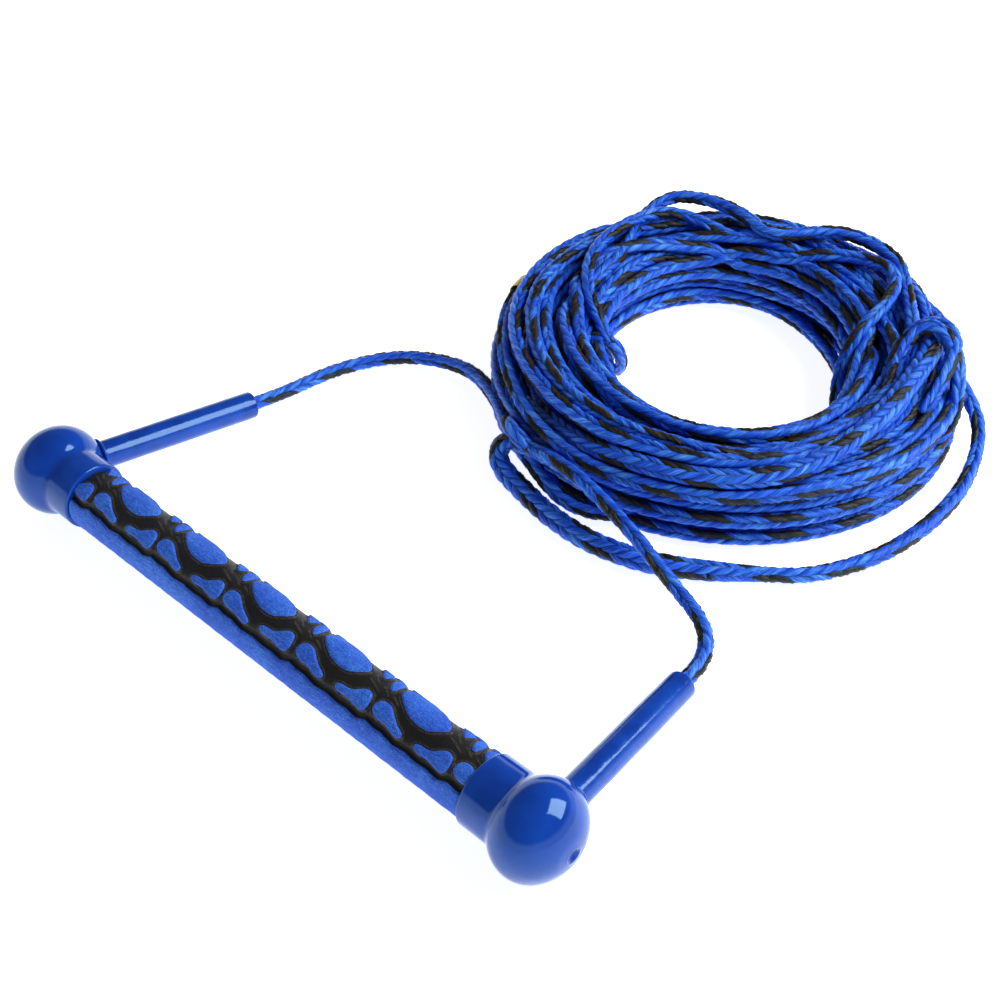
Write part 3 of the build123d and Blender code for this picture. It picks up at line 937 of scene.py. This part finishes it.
@dataclass
class Grip:
    """The foam grip: blue pads, a wavy blue band and the dark bed that they stand on.

    Pads are given by corners: millimetres along the bar from the repeat's middle, and
    degrees round it, where 0 faces away from the bridle and 90 is the top.
    """

    place: Layout
    half: float = 0.1263
    bore: float = 0.01275
    bed: float = 0.0140
    top: float = 0.0153
    along_step: float = 0.00052
    columns: int = 184
    pitch: float = 46.4
    shift: float = -2.0
    mirror: float = 229.0          # the far side's pads mirror the near ones
    lip_off: float = 0.75          # from a pad's edge to the thin raised lip, millimetres
    groove: float = 0.0009
    seam: float = -23.5            # the narrow dark seam below the front band, degrees
    seam_half: float = 3.4
    trench: float = 5.5            # the groove beyond a band's edge, degrees away from it
    trench_half: float = 4.0
    lip_rise: float = 0.00042
    crown: float = 0.00012
    valley: float = 0.0001
    fold_at: float = 17.0          # a fine fold along the front band, degrees
    fold: float = 0.00012
    worn_at: float = 38.0          # a worn line across the top, millimetres along
    worn: float = 0.00025
    nibs: int = 24                 # flash that stands out along the seam

    LARGE = ((-14.8, 114), (-13.6, 126), (-11.5, 136), (-7.5, 145), (-3, 147), (2, 140),
             (8, 131), (11.5, 121), (14.6, 107), (12.6, 96), (10.1, 86.5), (7.6, 80),
             (4.5, 78), (0, 78.5), (-4.2, 82.5), (-8, 90), (-11.75, 99.5), (-13.9, 107))
    SLIM = ((-21.75, 120), (-21.4, 131), (-20.2, 139), (-18.9, 140), (-17.7, 133),
            (-16.9, 120.5), (-16.9, 109), (-17.7, 99.4), (-18.9, 98.2), (-20.2, 104),
            (-21.25, 111.6))
    WEDGE = ((-31.5, 136), (-28.9, 126), (-27.4, 117), (-26.25, 113), (-25.2, 117),
             (-24.2, 128), (-23.9, 137), (-25.5, 142), (-29, 143), (-31.5, 141))
    BOOT = ((6.1, 52), (7, 46.3), (8.9, 43.5), (12, 44.4), (15.1, 45.1), (18.2, 42.8),
            (22, 40.4), (24.2, 42.8), (25.1, 51), (25, 62.8), (23.9, 73.4), (22, 76.5),
            (19.8, 75.7), (17.6, 69.8), (15.1, 61.6), (12.6, 58.6), (9.5, 58.2),
            (7.3, 56.3))
    BEAN = ((-19.4, 59.3), (-18.3, 72.3), (-16.4, 77.4), (-13, 78.2), (-10.5, 73.4),
            (-7.4, 64), (-4.2, 57), (-1.4, 53.4), (-.1, 47.5), (-1.1, 41.7), (-3, 40),
            (-5.5, 41.7), (-8, 45.1), (-10.5, 46.8), (-13.6, 45.9), (-16.8, 48.7),
            (-18.3, 53.4))
    BAND_EDGE = ((-19, 33.8), (-14.5, 31), (-9.5, 32.2), (-2.4, 26.6), (4.5, 30),
                 (11.4, 27.4), (16.4, 29.5), (22.6, 26.1))
    # Diagonal ridges, which are raised and get a painted highlight.
    CREASES = (((-29.5, 113), (-24.5, 97)), ((-22.5, 101), (-16.5, 88)),
               ((15.5, 98), (25.5, 84)), ((-16, 95), (-9.5, 84)))

    def flat(self, angle: np.ndarray | float) -> np.ndarray | float:
        """Millimetres round the grip's top surface for an angle in degrees."""
        return np.radians(angle) * self.top * 1000

    @staticmethod
    def to_line(x: np.ndarray, y: np.ndarray, a: np.ndarray,
                b: np.ndarray) -> tuple[np.ndarray, np.ndarray]:
        """Where points lie against a straight line from a to b.

        Args:
            x: Millimetres along the bar.
            y: Millimetres round it.
            a: The line's start.
            b: Its end.

        Returns:
            How far along it each point is, 0 to 1 within it, and how far away from it.
        """
        run = b - a
        share = ((x - a[0]) * run[0] + (y - a[1]) * run[1]) / (run @ run)
        held = np.clip(share, 0, 1)
        return share, np.hypot(x - a[0] - held * run[0], y - a[1] - held * run[1])

    def band_edge(self, x: np.ndarray) -> np.ndarray:
        """Angle of the front band's wavy upper edge, in degrees, at each place along."""
        edge_x, edge_a = zip(*self.BAND_EDGE)
        wrapped = (x - self.shift - edge_x[0]) % self.pitch + edge_x[0]
        return np.interp(wrapped, edge_x + (edge_x[0] + self.pitch,), edge_a + (edge_a[0],))

    def inside(self, x: np.ndarray, y: np.ndarray, corners: np.ndarray) -> np.ndarray:
        """How far inside an outline each point lies, negative outside it.

        Args:
            x: Millimetres along the bar.
            y: Millimetres round it.
            corners: The outline, one row a corner.

        Returns:
            The signed distance in millimetres.
        """
        near = np.full(x.shape, 1e9)
        within = np.zeros(x.shape, bool)
        for a, b in zip(corners, np.roll(corners, -1, axis=0)):
            near = np.minimum(near, self.to_line(x, y, a, b)[1])
            if a[1] != b[1]:
                crosses = (a[1] > y) != (b[1] > y)
                within ^= crosses & (x < a[0] + (y - a[1]) / (b[1] - a[1]) * (b[0] - a[0]))
        return np.where(within, near, -near)

    def soften(self, corners: tuple[tuple[float, float], ...]) -> np.ndarray:
        """An outline with its corners cut twice, so that it runs smoothly."""
        line = np.array([(x, self.flat(a)) for x, a in corners])
        for _ in range(2):
            after = np.roll(line, -1, axis=0)
            line = np.stack([0.75 * line + 0.25 * after, 0.25 * line + 0.75 * after],
                            axis=1).reshape(-1, 2)
        return line

    def pattern(self, x: np.ndarray, angle: np.ndarray) -> tuple[np.ndarray, np.ndarray]:
        """Where the blue skin is, and the raised ridges that are painted pale as a highlight.

        Args:
            x: Millimetres along the bar.
            angle: Degrees round it.

        Returns:
            Signed distance into the nearest pad or band, and how much of a raised ridge with a
            painted highlight is there.
        """
        rng = np.random.default_rng(3)
        best = np.full(x.shape, -9.0)
        crease = np.zeros(x.shape)
        y = self.flat(angle)
        for repeat in range(-3, 4):
            for outline in (self.LARGE, self.SLIM, self.WEDGE, self.BOOT, self.BEAN):
                sway = rng.normal(0, 0.25, 2)
                for mirrored in (False, True):
                    if mirrored and outline not in (self.BOOT, self.BEAN):
                        continue
                    corners = self.soften(outline)
                    if mirrored:
                        corners = corners[::-1] * (1, -1) + (0, self.flat(self.mirror))
                    corners = corners + (self.shift + self.pitch * repeat, 0) + sway
                    low, high = corners.min(axis=0) - 3, corners.max(axis=0) + 3
                    box = (x > low[0]) & (x < high[0]) & (y > low[1]) & (y < high[1])
                    if box.any():
                        best[box] = np.maximum(best[box], self.inside(x[box], y[box], corners))
            for start, stop in self.CREASES:
                a, b = (np.array((v[0] + self.shift + self.pitch * repeat, self.flat(v[1])))
                        for v in (start, stop))
                share, off = self.to_line(x, y, a, b)
                fade = np.clip(4 * share, 0, 1) * np.clip(4 * (1 - share), 0, 1)
                crease = np.maximum(crease, np.exp(-(off / 0.28) ** 2) * fade)
        front = self.flat(self.band_edge(x))
        far = self.flat(self.mirror) - front
        band = np.maximum(front - y, y - far)
        sway = 0.5 * np.sin(0.41 * x) + 0.4 * np.sin(1.13 * x + 1)
        band = np.minimum(band, np.abs(y - self.flat(self.seam) - 0.3 * sway)
                          - self.flat(self.seam_half))
        # Thin raised lips beside the pads, which also get the painted highlight.
        crease = np.maximum(crease, np.exp(-((best + self.lip_off) / 0.24) ** 2)
                            * (y > front + 1.2))
        low_lip = np.exp(-((best + 0.55) / 0.3) ** 2) * (y < self.flat(48)) * (y > front + 1)
        crease = np.maximum(crease, low_lip)
        return np.maximum(best, band), crease

    def heights(self, x: np.ndarray, angle: np.ndarray, pad: np.ndarray,
                crease: np.ndarray) -> np.ndarray:
        """Radius of the foam's surface.

        Args:
            x: Millimetres along the bar.
            angle: Degrees round it.
            pad: Signed distance into the blue skin.
            crease: How much of a raised ridge is there; the finish paints it pale as a highlight.

        Returns:
            The radius in metres.
        """
        step = np.clip(pad + 0.35, 0, 1)
        step = step * step * (3 - 2 * step)
        crown = self.crown * np.clip(pad / 3.0, 0, 1)
        valley = np.clip((-pad - 0.7) / 1.2, 0, 1)
        uneven = (np.sin(x * 0.9 + 0.07 * angle) + np.sin(x * 0.37 - 0.11 * angle)) * 0.00003
        front = self.band_edge(x)
        trench = 0.0
        for middle in (front + self.trench, self.mirror - front - self.trench):
            trench = trench + np.exp(-((angle - middle) / self.trench_half) ** 2)
        folded = np.exp(-((angle - self.fold_at - 0.02 * x) / 1.1) ** 2) * self.fold
        radius = (self.bed + (self.top - self.bed) * step + crown + uneven * (0.4 + step)
                  + self.lip_rise * crease * (1 - step) - self.valley * valley
                  - self.groove * trench
                  * (1 - step) - folded)
        worn = (self.worn * np.exp(-((x - self.worn_at) / 0.5) ** 2)
                * ((angle > 40) & (angle < 135)))
        rng = np.random.default_rng(8)
        for nib in np.cumsum(rng.uniform(5.0, 15.0, self.nibs)) - self.half * 1000:
            wide, deep = rng.uniform(0.5, 1.2), rng.uniform(0.0005, 0.0011)
            radius = radius + deep * np.exp(-((x - nib) / wide) ** 2
                                            - ((angle - self.seam - 0.5) / 2.6) ** 2)
        ends = np.clip((self.half * 1000 - np.abs(x)) / 0.9, 0, 1)
        return radius - worn - 0.0004 * (1 - ends) ** 2

    def build(self, foam: bpy.types.Material) -> None:
        """Makes the foam's outside, ends and bore as one closed mesh."""
        rows = round(2 * self.half / self.along_step)
        place = np.linspace(-self.half, self.half, rows + 1)
        turn = -60.0 + 360.0 * np.arange(self.columns) / self.columns
        x, angle = np.meshgrid(place * 1000, turn, indexing="ij")
        pad, crease = self.pattern(x, angle)
        radius = self.heights(x, angle, pad, crease)
        across = np.radians(angle)
        outer = np.stack([x / 1000, self.place.bar_y - radius * np.cos(across),
                          self.place.bar_z + radius * np.sin(across)], axis=-1)
        bore = outer[[0, -1]].copy()
        bore[..., 1] = self.place.bar_y - self.bore * np.cos(across[[0, -1]])
        bore[..., 2] = self.place.bar_z + self.bore * np.sin(across[[0, -1]])
        count, columns = outer.shape[:2]
        index = np.arange((count + 2) * columns).reshape(count + 2, columns)
        bands = [(index[r], index[r + 1]) for r in range(count - 1)]
        bands += [(index[count - 1], index[count + 1]), (index[count + 1], index[count]),
                  (index[count], index[0])]
        quads = np.concatenate([np.stack([a, np.roll(a, -1), np.roll(b, -1), b], axis=-1)
                                for a, b in bands])[:, ::-1]
        mesh = bpy.data.meshes.new("grip_foam")
        mesh.from_pydata(np.concatenate([outer, bore]).reshape(-1, 3), [], quads.tolist())
        # lip marks the raised ridges that the finish paints pale as a highlight.
        for name, values, rest in (("pad", pad, -1.0), ("lip", crease, 0.0)):
            layer = mesh.attributes.new(name, "FLOAT", "POINT")
            layer.data.foreach_set("value", np.r_[values.ravel(), np.full(2 * columns, rest)]
                                   .astype(np.float32))
        column, band = np.meshgrid(np.arange(columns), np.arange(len(bands)))
        v = np.stack([column, column + 1, column + 1, column], axis=-1)[..., ::-1] / columns
        u = np.stack([band, band, band + 1, band + 1], axis=-1)[..., ::-1] / len(bands)
        packed = mesh.uv_layers.new(name="OFBake")
        packed.uv.foreach_set("vector", np.stack([0.002 + 0.996 * u, 0.002 + 0.996 * v],
                                                 axis=-1).ravel())
        mesh.polygons.foreach_set("use_smooth", np.ones(len(mesh.polygons), bool))
        mesh.materials.append(foam)
        mesh.validate()
        grip = bpy.data.objects.new("grip_foam", mesh)
        bpy.context.collection.objects.link(grip)
        only(grip)
        bpy.ops.object.shade_smooth_by_angle(angle=math.radians(60))
        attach(grip, HANDLE)
        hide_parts("grip_base", "grip_pads_large", "grip_pads_slim", "grip_pads_boot",
                    "grip_pads_bean", "grip_band_front", "grip_band_under")
        log.info("grip_foam: %d faces", len(mesh.polygons))


@dataclass
class InsideParts:
    """What the foam and the caps hide: the bar, its float core, plugs and rope ends."""

    def build(self) -> None:
        """Gives each hidden node its finish."""
        metal = HiddenStuff("bar_alloy", dye(150, 152, 156), dye(196, 198, 202),
                            (40.0, 900.0, 900.0), 0.34, 1.0).material()
        foam = HiddenStuff("float_foam", dye(214, 214, 206), dye(242, 242, 236),
                           (500.0, 500.0, 500.0), 0.8).material()
        plastic = HiddenStuff("plug_plastic", dye(28, 28, 30), dye(46, 46, 50),
                              (300.0, 300.0, 300.0), 0.45).material()
        rope = HiddenStuff("rope_end_yarn", dye(16, 44, 158), dye(60, 120, 236),
                           (900.0, 300.0, 900.0), 0.45).material()
        dressed = {"bar_tube": metal, "float_core": foam, "left_tube_plug": plastic,
                   "right_tube_plug": plastic, "left_rope_anchor": rope,
                   "right_rope_anchor": rope}
        for node, material in dressed.items():
            bpy.data.objects[node].material_slots[0].material = material
        log.info("inside parts: %d nodes dressed", len(dressed))


@dataclass
class Coil:
    """The hand-wound coil of line, with the thick splice that lies on top of it."""

    centre: tuple[float, float] = (0.026, 0.2455)
    outer: float = 0.123
    height: float = 0.049
    hole_long: float = 0.075
    hole_short: float = 0.062
    hole_turn: float = math.radians(133)
    stations: int = 72             # places round the ring where the turns are settled
    turns: float = 29.53           # from the lead's end to the tow eye
    begin: float = 33.0
    lanes: int = 6
    clear: float = 0.0077          # pressed turns lie this far apart
    rope_radius: float = 0.004
    splice_radius: float = 0.0055
    seed: int = 11
    rounds: int = 400
    last_rounds: int = 30          # in which the turns are smoothed less
    push: float = 0.42             # share of an overlap that one round takes away
    calm: float = 0.30             # smoothing along the line in each round
    last_calm: float = 0.12
    pull: float = 0.012            # share of the way back to the first guess
    weight: float = 0.00001        # how far a turn sinks in each round
    pieces: int = 5
    tape_width: float = 0.013
    tape_thick: float = 0.0005
    # single turns that are given one by one: number of the turn, then direction in degrees,
    # radius and height of each place that it passes
    laid: dict[int, list[Point]] = field(default_factory=lambda: {
        26: [(73, .114, .046), (91, .113, .048), (110, .080, .048), (129, .112, .050),
             (149, .128, .047)],
        27: [(352, .074, .010), (380, .060, .013), (391, .059, .024), (399, .062, .037),
             (407, .074, .045), (416, .090, .0465), (427, .104, .0465), (440, .110, .045)],
        29: [(140, .111, .045), (156, .107, .0465), (173, .097, .0465), (191, .084, .0465),
             (209, .070, .043), (222, .061, .034), (224, .060, .031)]})
    splice: list[Point] = field(default_factory=lambda: [
        (40, .105, .040), (35, .103, .0445), (29, .102, .046), (13, .098, .0465),
        (-4, .100, .0465), (-21, .107, .045), (-38, .114, .041), (-55, .116, .039),
        (-70, .115, .039), (-86, .113, .035), (-101, .111, .030), (-116, .109, .025)])
    hood: list[Point] = field(default_factory=lambda: [
        (5, .108, .014), (10, .116, .018), (15, .121, .027), (21, .119, .038), (26, .115, .047),
        (31, .109, .0535), (34, .102, .0555), (34, .094, .053), (30, .089, .0485),
        (25, .0865, .0455), (20, .086, .0390), (13, .088, .0320)])
    hitch: list[Point] = field(default_factory=lambda: [
        (10, .107, .0330), (15, .109, .0395), (20, .111, .0450), (25, .1125, .0490),
        (30, .1135, .0515), (36, .111, .052), (39, .105, .051), (40, .098, .0475),
        (40, .093, .0400), (38, .091, .0320)])
    tow_eye: list[Point] = field(default_factory=lambda: [
        (-.0240, .2190, .0045), (-.0185, .2150, .0095), (-.0152, .2122, .0190),
        (-.0168, .2090, .0290), (-.0222, .2045, .0350), (-.0280, .2000, .0340),
        (-.0315, .1965, .0270), (-.0325, .1945, .0180)])
    tow_tail: list[Point] = field(default_factory=lambda: [
        (-.0290, .2025, .0280), (-.0245, .2065, .0240), (-.0225, .2095, .0150),
        (-.0245, .2125, .0070), (-.0300, .2170, .0045), (-.0350, .2240, .0043),
        (-.0375, .2320, .0043)])
    marker_at: Point = (199.0, 0.128, 0.030)

    def ring_point(self, angle: float, radius: float, height: float) -> Point:
        """A point round the coil's centre, angle in degrees from +X."""
        turn = math.radians(angle)
        return (self.centre[0] + radius * math.cos(turn),
                self.centre[1] + radius * math.sin(turn), height)

    def inner(self, angle: np.ndarray) -> np.ndarray:
        """The hole's radius in each direction."""
        turned = angle - self.hole_turn
        return 1 / np.sqrt((np.cos(turned) / self.hole_long) ** 2
                           + (np.sin(turned) / self.hole_short) ** 2)

    def wander(self, rng: np.random.Generator, count: int, swing: float,
               waves: tuple[float, ...]) -> np.ndarray:
        """A smooth random sway along the line.

        Args:
            rng: The seeded source.
            count: Number of samples along the line.
            swing: Size of the sway.
            waves: How many waves each sum has in one turn.

        Returns:
            The sway at each sample.
        """
        total = np.zeros(count)
        for wave in waves:
            knots = max(4, int(count / self.stations * wave * 2))
            heights = rng.normal(0, 1, knots)
            total += np.interp(np.linspace(0, knots - 1, count), np.arange(knots), heights)
        kernel = np.hanning(11)
        return swing * np.convolve(total, kernel / kernel.sum(), mode="same")

    def lay_turns(self) -> tuple[np.ndarray, np.ndarray, np.ndarray]:
        """First guess of the turns, layer on layer from the ground up.

        Returns:
            Direction, radius and height of each sample along the line.
        """
        rng = np.random.default_rng(self.seed)
        count = round(self.turns * self.stations) + 1
        steps = np.arange(count)
        angle = math.radians(self.begin) + 2 * math.pi * steps / self.stations
        turns = math.ceil(self.turns) + 1
        lane = np.array([(k % self.lanes) if (k // self.lanes) % 2
                         else self.lanes - 1 - k % self.lanes for k in range(turns)], float)
        lane = np.clip(lane + rng.normal(0, 0.9, turns), 0, self.lanes - 1) / (self.lanes - 1)
        layer = np.array([k // self.lanes for k in range(turns)], float)
        layer = (layer + rng.normal(0, 0.3, turns)) / (turns // self.lanes - 1)
        when = steps / self.stations
        share = np.interp(when, np.arange(turns), lane)
        rise = np.interp(when, np.arange(turns), np.clip(layer, 0, 1))
        low, high = self.inner(angle) + self.rope_radius, self.outer - self.rope_radius
        loose = 0.4 + 0.8 * rise
        radius = low + share * (high - low) + loose * self.wander(rng, count, .0050, (1.0, 2.2))
        height = (self.rope_radius + rise * (self.height - 2 * self.rope_radius)
                  + loose * self.wander(rng, count, .0026, (1.2, 2.6)))
        return angle, radius, height

    def by_hand(self, count: int) -> tuple[np.ndarray, np.ndarray]:
        """Radius and height of the samples of the listed turns, and no number elsewhere."""
        radius, height = np.full(count, np.nan), np.full(count, np.nan)
        for turn, places in self.laid.items():
            angles, radii, heights = zip(*places)
            steps = (np.array(angles) + 360 * turn - self.begin) / 360 * self.stations
            inside = np.arange(max(0, math.ceil(steps[0])),
                               min(count - 1, math.floor(steps[-1])) + 1)
            radius[inside] = np.interp(inside, steps, radii)
            height[inside] = np.interp(inside, steps, heights)
        return radius, height

    def splice_rows(self) -> tuple[np.ndarray, np.ndarray]:
        """Radius and height of the thick splice at each station, and no number elsewhere."""
        angles, radii, heights = (np.array(v[::-1]) for v in zip(*self.splice))
        where = self.begin + 360 * np.arange(self.stations) / self.stations
        where = np.where(where > 180, where - 360, where)
        inside = (where >= angles[0]) & (where <= angles[-1])
        return (np.where(inside, np.interp(where, angles, radii), np.nan),
                np.where(inside, np.interp(where, angles, heights), np.nan))

    def settle(self, angle: np.ndarray, radius: np.ndarray, height: np.ndarray
               ) -> tuple[np.ndarray, np.ndarray]:
        """Presses the turns apart until they lie on and beside each other.

        Args:
            angle: Direction of each sample.
            radius: Its first distance from the coil's centre.
            height: Its first height.

        Returns:
            The settled radius and height.
        """
        count, wanted_r, wanted_z = len(angle), radius.copy(), height.copy()
        turns = math.ceil(count / self.stations)
        pad = np.full(turns * self.stations - count, np.nan)
        low, high = self.inner(angle) + self.rope_radius, self.outer - self.rope_radius
        middle, half = (low + high) / 2, (high - low) / 2
        hand_r, hand_z = self.by_hand(count)
        by_hand = ~np.isnan(hand_r)
        splice_r, splice_z = self.splice_rows()
        size = np.r_[np.full(turns, self.clear / 2), self.splice_radius * 0.95]
        apart_by = (size[:, None] + size[None])[..., None]
        own = np.arange(turns + 1)
        for step in range(self.rounds):
            radius[by_hand], height[by_hand] = hand_r[by_hand], hand_z[by_hand]
            grid_r = np.vstack([np.r_[radius, pad].reshape(turns, -1), splice_r])
            grid_z = np.vstack([np.r_[height, pad].reshape(turns, -1), splice_z])
            gap_r = grid_r[:, None] - grid_r[None]
            gap_z = grid_z[:, None] - grid_z[None]
            apart = np.sqrt(gap_r ** 2 + gap_z ** 2) + 1e-9
            push = np.clip(apart_by - apart, 0, None) / apart
            push[own, own] = 0
            push = np.nan_to_num(push) * self.push
            for values, gap in ((radius, gap_r), (height, gap_z)):
                moved = (push * np.nan_to_num(gap)).sum(axis=1)[:turns]
                values += moved.reshape(-1)[:count]
                calm = self.calm if step < self.rounds - self.last_rounds else self.last_calm
                values[1:-1] += calm * ((values[:-2] + values[2:]) / 2 - values[1:-1])
            radius += self.pull * (wanted_r - radius)
            height += self.pull * (wanted_z - height) - self.weight
            crown = np.clip(1 - np.abs((radius - middle) / half) ** 3.5, 0, 1)
            ceiling = self.rope_radius + (self.height - 2 * self.rope_radius) * (.66 + .34 * crown)
            radius = np.where(by_hand, radius, np.clip(radius, low, high))
            height = np.clip(height, self.rope_radius + 0.0002,
                             np.where(by_hand, 1.0, ceiling))
        return radius, height

    def route(self) -> np.ndarray:
        """Control points of the whole coiled line, 36 to a turn."""
        angle, radius, height = self.lay_turns()
        radius, height = self.settle(angle, radius, height)
        return np.stack([self.centre[0] + radius * np.cos(angle),
                         self.centre[1] + radius * np.sin(angle), height], axis=1)[::2]

    def build(self, yarn: bpy.types.Material, tape: bpy.types.Material) -> None:
        """Makes the coil's rope in pieces that run on from each other, then what lies on it."""
        line = route_line(self.route(), LINE_BRAID.ring_step)
        frames = LINE_BRAID.frames(line)
        cuts = np.linspace(0, len(line) - 1, self.pieces + 1).round().astype(int)
        total = line_length(line)
        log.info("coil: %.2f m of line in %d pieces", total, self.pieces)
        for number, (first, last) in enumerate(zip(cuts, cuts[1:]), start=1):
            part = slice(first, last + 1)
            phase = first * total / (len(line) - 1)
            rope = LINE_BRAID.piece(f"coil_rope_{number}", line[part], yarn, phase,
                                    frames=tuple(f[part] for f in frames))
            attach(rope, HANDLE)
            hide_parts("rope_coil", "coil_wrap_left", "coil_wrap_right")
        splice = [self.ring_point(*place) for place in self.splice]
        Rope("section_splice_rope", splice, SPLICE_BRAID, ("section_splice",),
             taper=(1.05, 0.8)).build(yarn)
        for name, route in (("section_hood_rope", self.hood),
                            ("section_hitch_rope", self.hitch)):
            Rope(name, [self.ring_point(*place) for place in route], LINE_BRAID,
                 ("section_knot",), taper=(1.0, 1.1)).build(yarn)
        Rope("tow_eye_rope", self.tow_eye, LINE_BRAID, ("tow_eye",),
             taper=(0.85, 0.95)).build(yarn)
        Rope("tow_tail_rope", self.tow_tail, LINE_BRAID, ("tow_eye",), phase=0.02).build(yarn)
        self.mark(line, tape)

    def mark(self, line: np.ndarray, tape: bpy.types.Material) -> None:
        """Wraps the tape round the turn that lies nearest to its place.

        Args:
            line: The coiled line's points.
            tape: The tape's material.
        """
        nearest = int(np.argmin(np.linalg.norm(line - self.ring_point(*self.marker_at), axis=1)))
        at = Vector(line[nearest])
        ahead = Vector(line[nearest + 2] - line[nearest - 2]).normalized()
        deselect()
        bpy.ops.mesh.primitive_cylinder_add(
            vertices=28, radius=self.rope_radius + self.tape_thick, depth=self.tape_width,
            end_fill_type="NOTHING", location=at, rotation=ahead.to_track_quat("Z", "Y").to_euler())
        wrap = bpy.context.active_object
        in_edit(wrap)
        bpy.ops.mesh.select_all(action="SELECT")
        bpy.ops.mesh.subdivide(number_cuts=5)
        bpy.ops.transform.vertex_random(offset=0.00022, seed=4)
        out_of_edit()
        wall = wrap.modifiers.new("wall", "SOLIDIFY")
        wall.thickness, wall.offset = self.tape_thick, 0.0
        smooth = wrap.modifiers.new("smooth", "SUBSURF")
        smooth.levels = smooth.render_levels = 1
        apply_modifiers(wrap)
        finish_mesh(wrap, "marker_tape_wrap", tape)
        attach(wrap, HANDLE)
        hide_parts("rope_marker")
        log.info("marker_tape_wrap: %d faces", len(wrap.data.polygons))


# ---- studio ----------------------------------------------------------------------------
@dataclass(frozen=True)
class Studio:
    """A pale floor, white walls, one soft box and the camera."""

    camera_at: Point = (0.4042, -0.3320, 0.5350)
    forward: Point = (-0.50707, 0.54400, -0.66854)
    lens: float = 58.39
    sensor: float = 36.0
    floor_size: float = 12.0
    overhead: float = 0.16         # brightness of the dim ceiling
    walls: float = 1.25            # and of the white walls
    wall_top: tuple[float, float] = (0.16, 0.30)   # the heights between which they fade
    paper_glow: float = 0.85
    boxes: tuple[tuple[str, Point, tuple[float, float], float], ...] = (
        ("key_box", (0.85, 0.80, 1.05), (0.95, 0.95), 26.0),)

    def camera(self) -> None:
        """Sets the camera at the three-quarter view from the right-hand end."""
        data = bpy.data.cameras.new("camera")
        data.lens, data.sensor_width = self.lens, self.sensor
        data.clip_start, data.clip_end = 0.01, 100.0
        camera = bpy.data.objects.new("camera", data)
        bpy.context.collection.objects.link(camera)
        camera.location = self.camera_at
        camera.rotation_euler = Vector(self.forward).to_track_quat("-Z", "Y").to_euler()
        bpy.context.scene.camera = camera

    def soft_box(self, name: str, at: Point, aim: Point, size: tuple[float, float],
                 power: float) -> None:
        """One rectangular light.

        Args:
            name: The light's name.
            at: Where it hangs.
            aim: The point that it faces.
            size: Its width and height.
            power: Its power in watts.
        """
        data = bpy.data.lights.new(name, "AREA")
        data.shape, data.size, data.size_y = "RECTANGLE", *size
        data.energy = power
        light = bpy.data.objects.new(name, data)
        bpy.context.collection.objects.link(light)
        light.location = at
        light.rotation_euler = (Vector(aim) - Vector(at)).to_track_quat("-Z", "Y").to_euler()

    def light(self) -> None:
        """Hangs the soft box in a room with white walls and a dim ceiling."""
        world = bpy.data.worlds.new("room")
        bpy.context.scene.world = world
        world.use_nodes = True
        nodes, links = world.node_tree.nodes, world.node_tree.links
        around = nodes.new("ShaderNodeTexCoord")
        height = nodes.new("ShaderNodeSeparateXYZ")
        fade = nodes.new("ShaderNodeMapRange")
        for socket, value in zip(("From Min", "From Max", "To Min", "To Max"),
                                 (*self.wall_top, self.walls, self.overhead)):
            fade.inputs[socket].default_value = value
        links.new(around.outputs["Generated"], height.inputs[0])
        links.new(height.outputs["Z"], fade.inputs["Value"])
        links.new(fade.outputs[0], nodes["Background"].inputs[1])
        nodes["Background"].inputs[0].default_value = (1.0, 1.0, 1.0, 1.0)
        bpy.context.scene.view_settings.view_transform = "Standard"
        for name, at, size, power in self.boxes:
            self.soft_box(name, at, (0.0, 0.1, 0.0), size, power)

    def floor(self) -> None:
        """Lays the pale floor just under the object."""
        deselect()
        bpy.ops.mesh.primitive_plane_add(size=self.floor_size, location=(0, 0, -0.0002))
        floor = bpy.context.active_object
        floor.name = "studio_floor"
        s = Shader("studio_paper")
        grain = s.noise(s.place(), 900.0, 2.0)
        s.join(Base_Color=s.ramp(grain, (0.3, (0.9, 0.9, 0.9, 1)), (0.7, (0.93, 0.93, 0.93, 1))))
        s.set(Roughness=0.6, Specular_IOR_Level=0.2, Emission_Color=(1.0, 1.0, 1.0, 1.0),
              Emission_Strength=self.paper_glow)
        floor.data.materials.append(s.material)

    def build(self) -> None:
        """Sets up the whole studio."""
        self.camera()
        self.light()
        self.floor()
        log.info("studio: camera, soft box and a floor")


def main() -> None:
    """Builds every piece in order."""
    logging.basicConfig(level=logging.INFO, format="%(name)s: %(message)s")
    place = Layout()
    Studio().build()
    yarn = RopeYarn("rope_yarn").material()
    cap_vinyl = GlossyVinyl("cap_vinyl").material()
    sleeve_vinyl = GlossyVinyl("sleeve_vinyl", roughness=(0.12, 0.2), flow=90.0).material()
    InsideParts().build()
    Grip(place).build(GripFoam("grip_foam").material())
    for side in Side:
        EndCap(place, side).build(cap_vinyl)
        FingerSleeve(place, side).build(sleeve_vinyl)
    Bridle(place).build(yarn)
    Coil().build(yarn, MarkerTape("marker_tape").material())


if __name__ == "__main__":
    main()
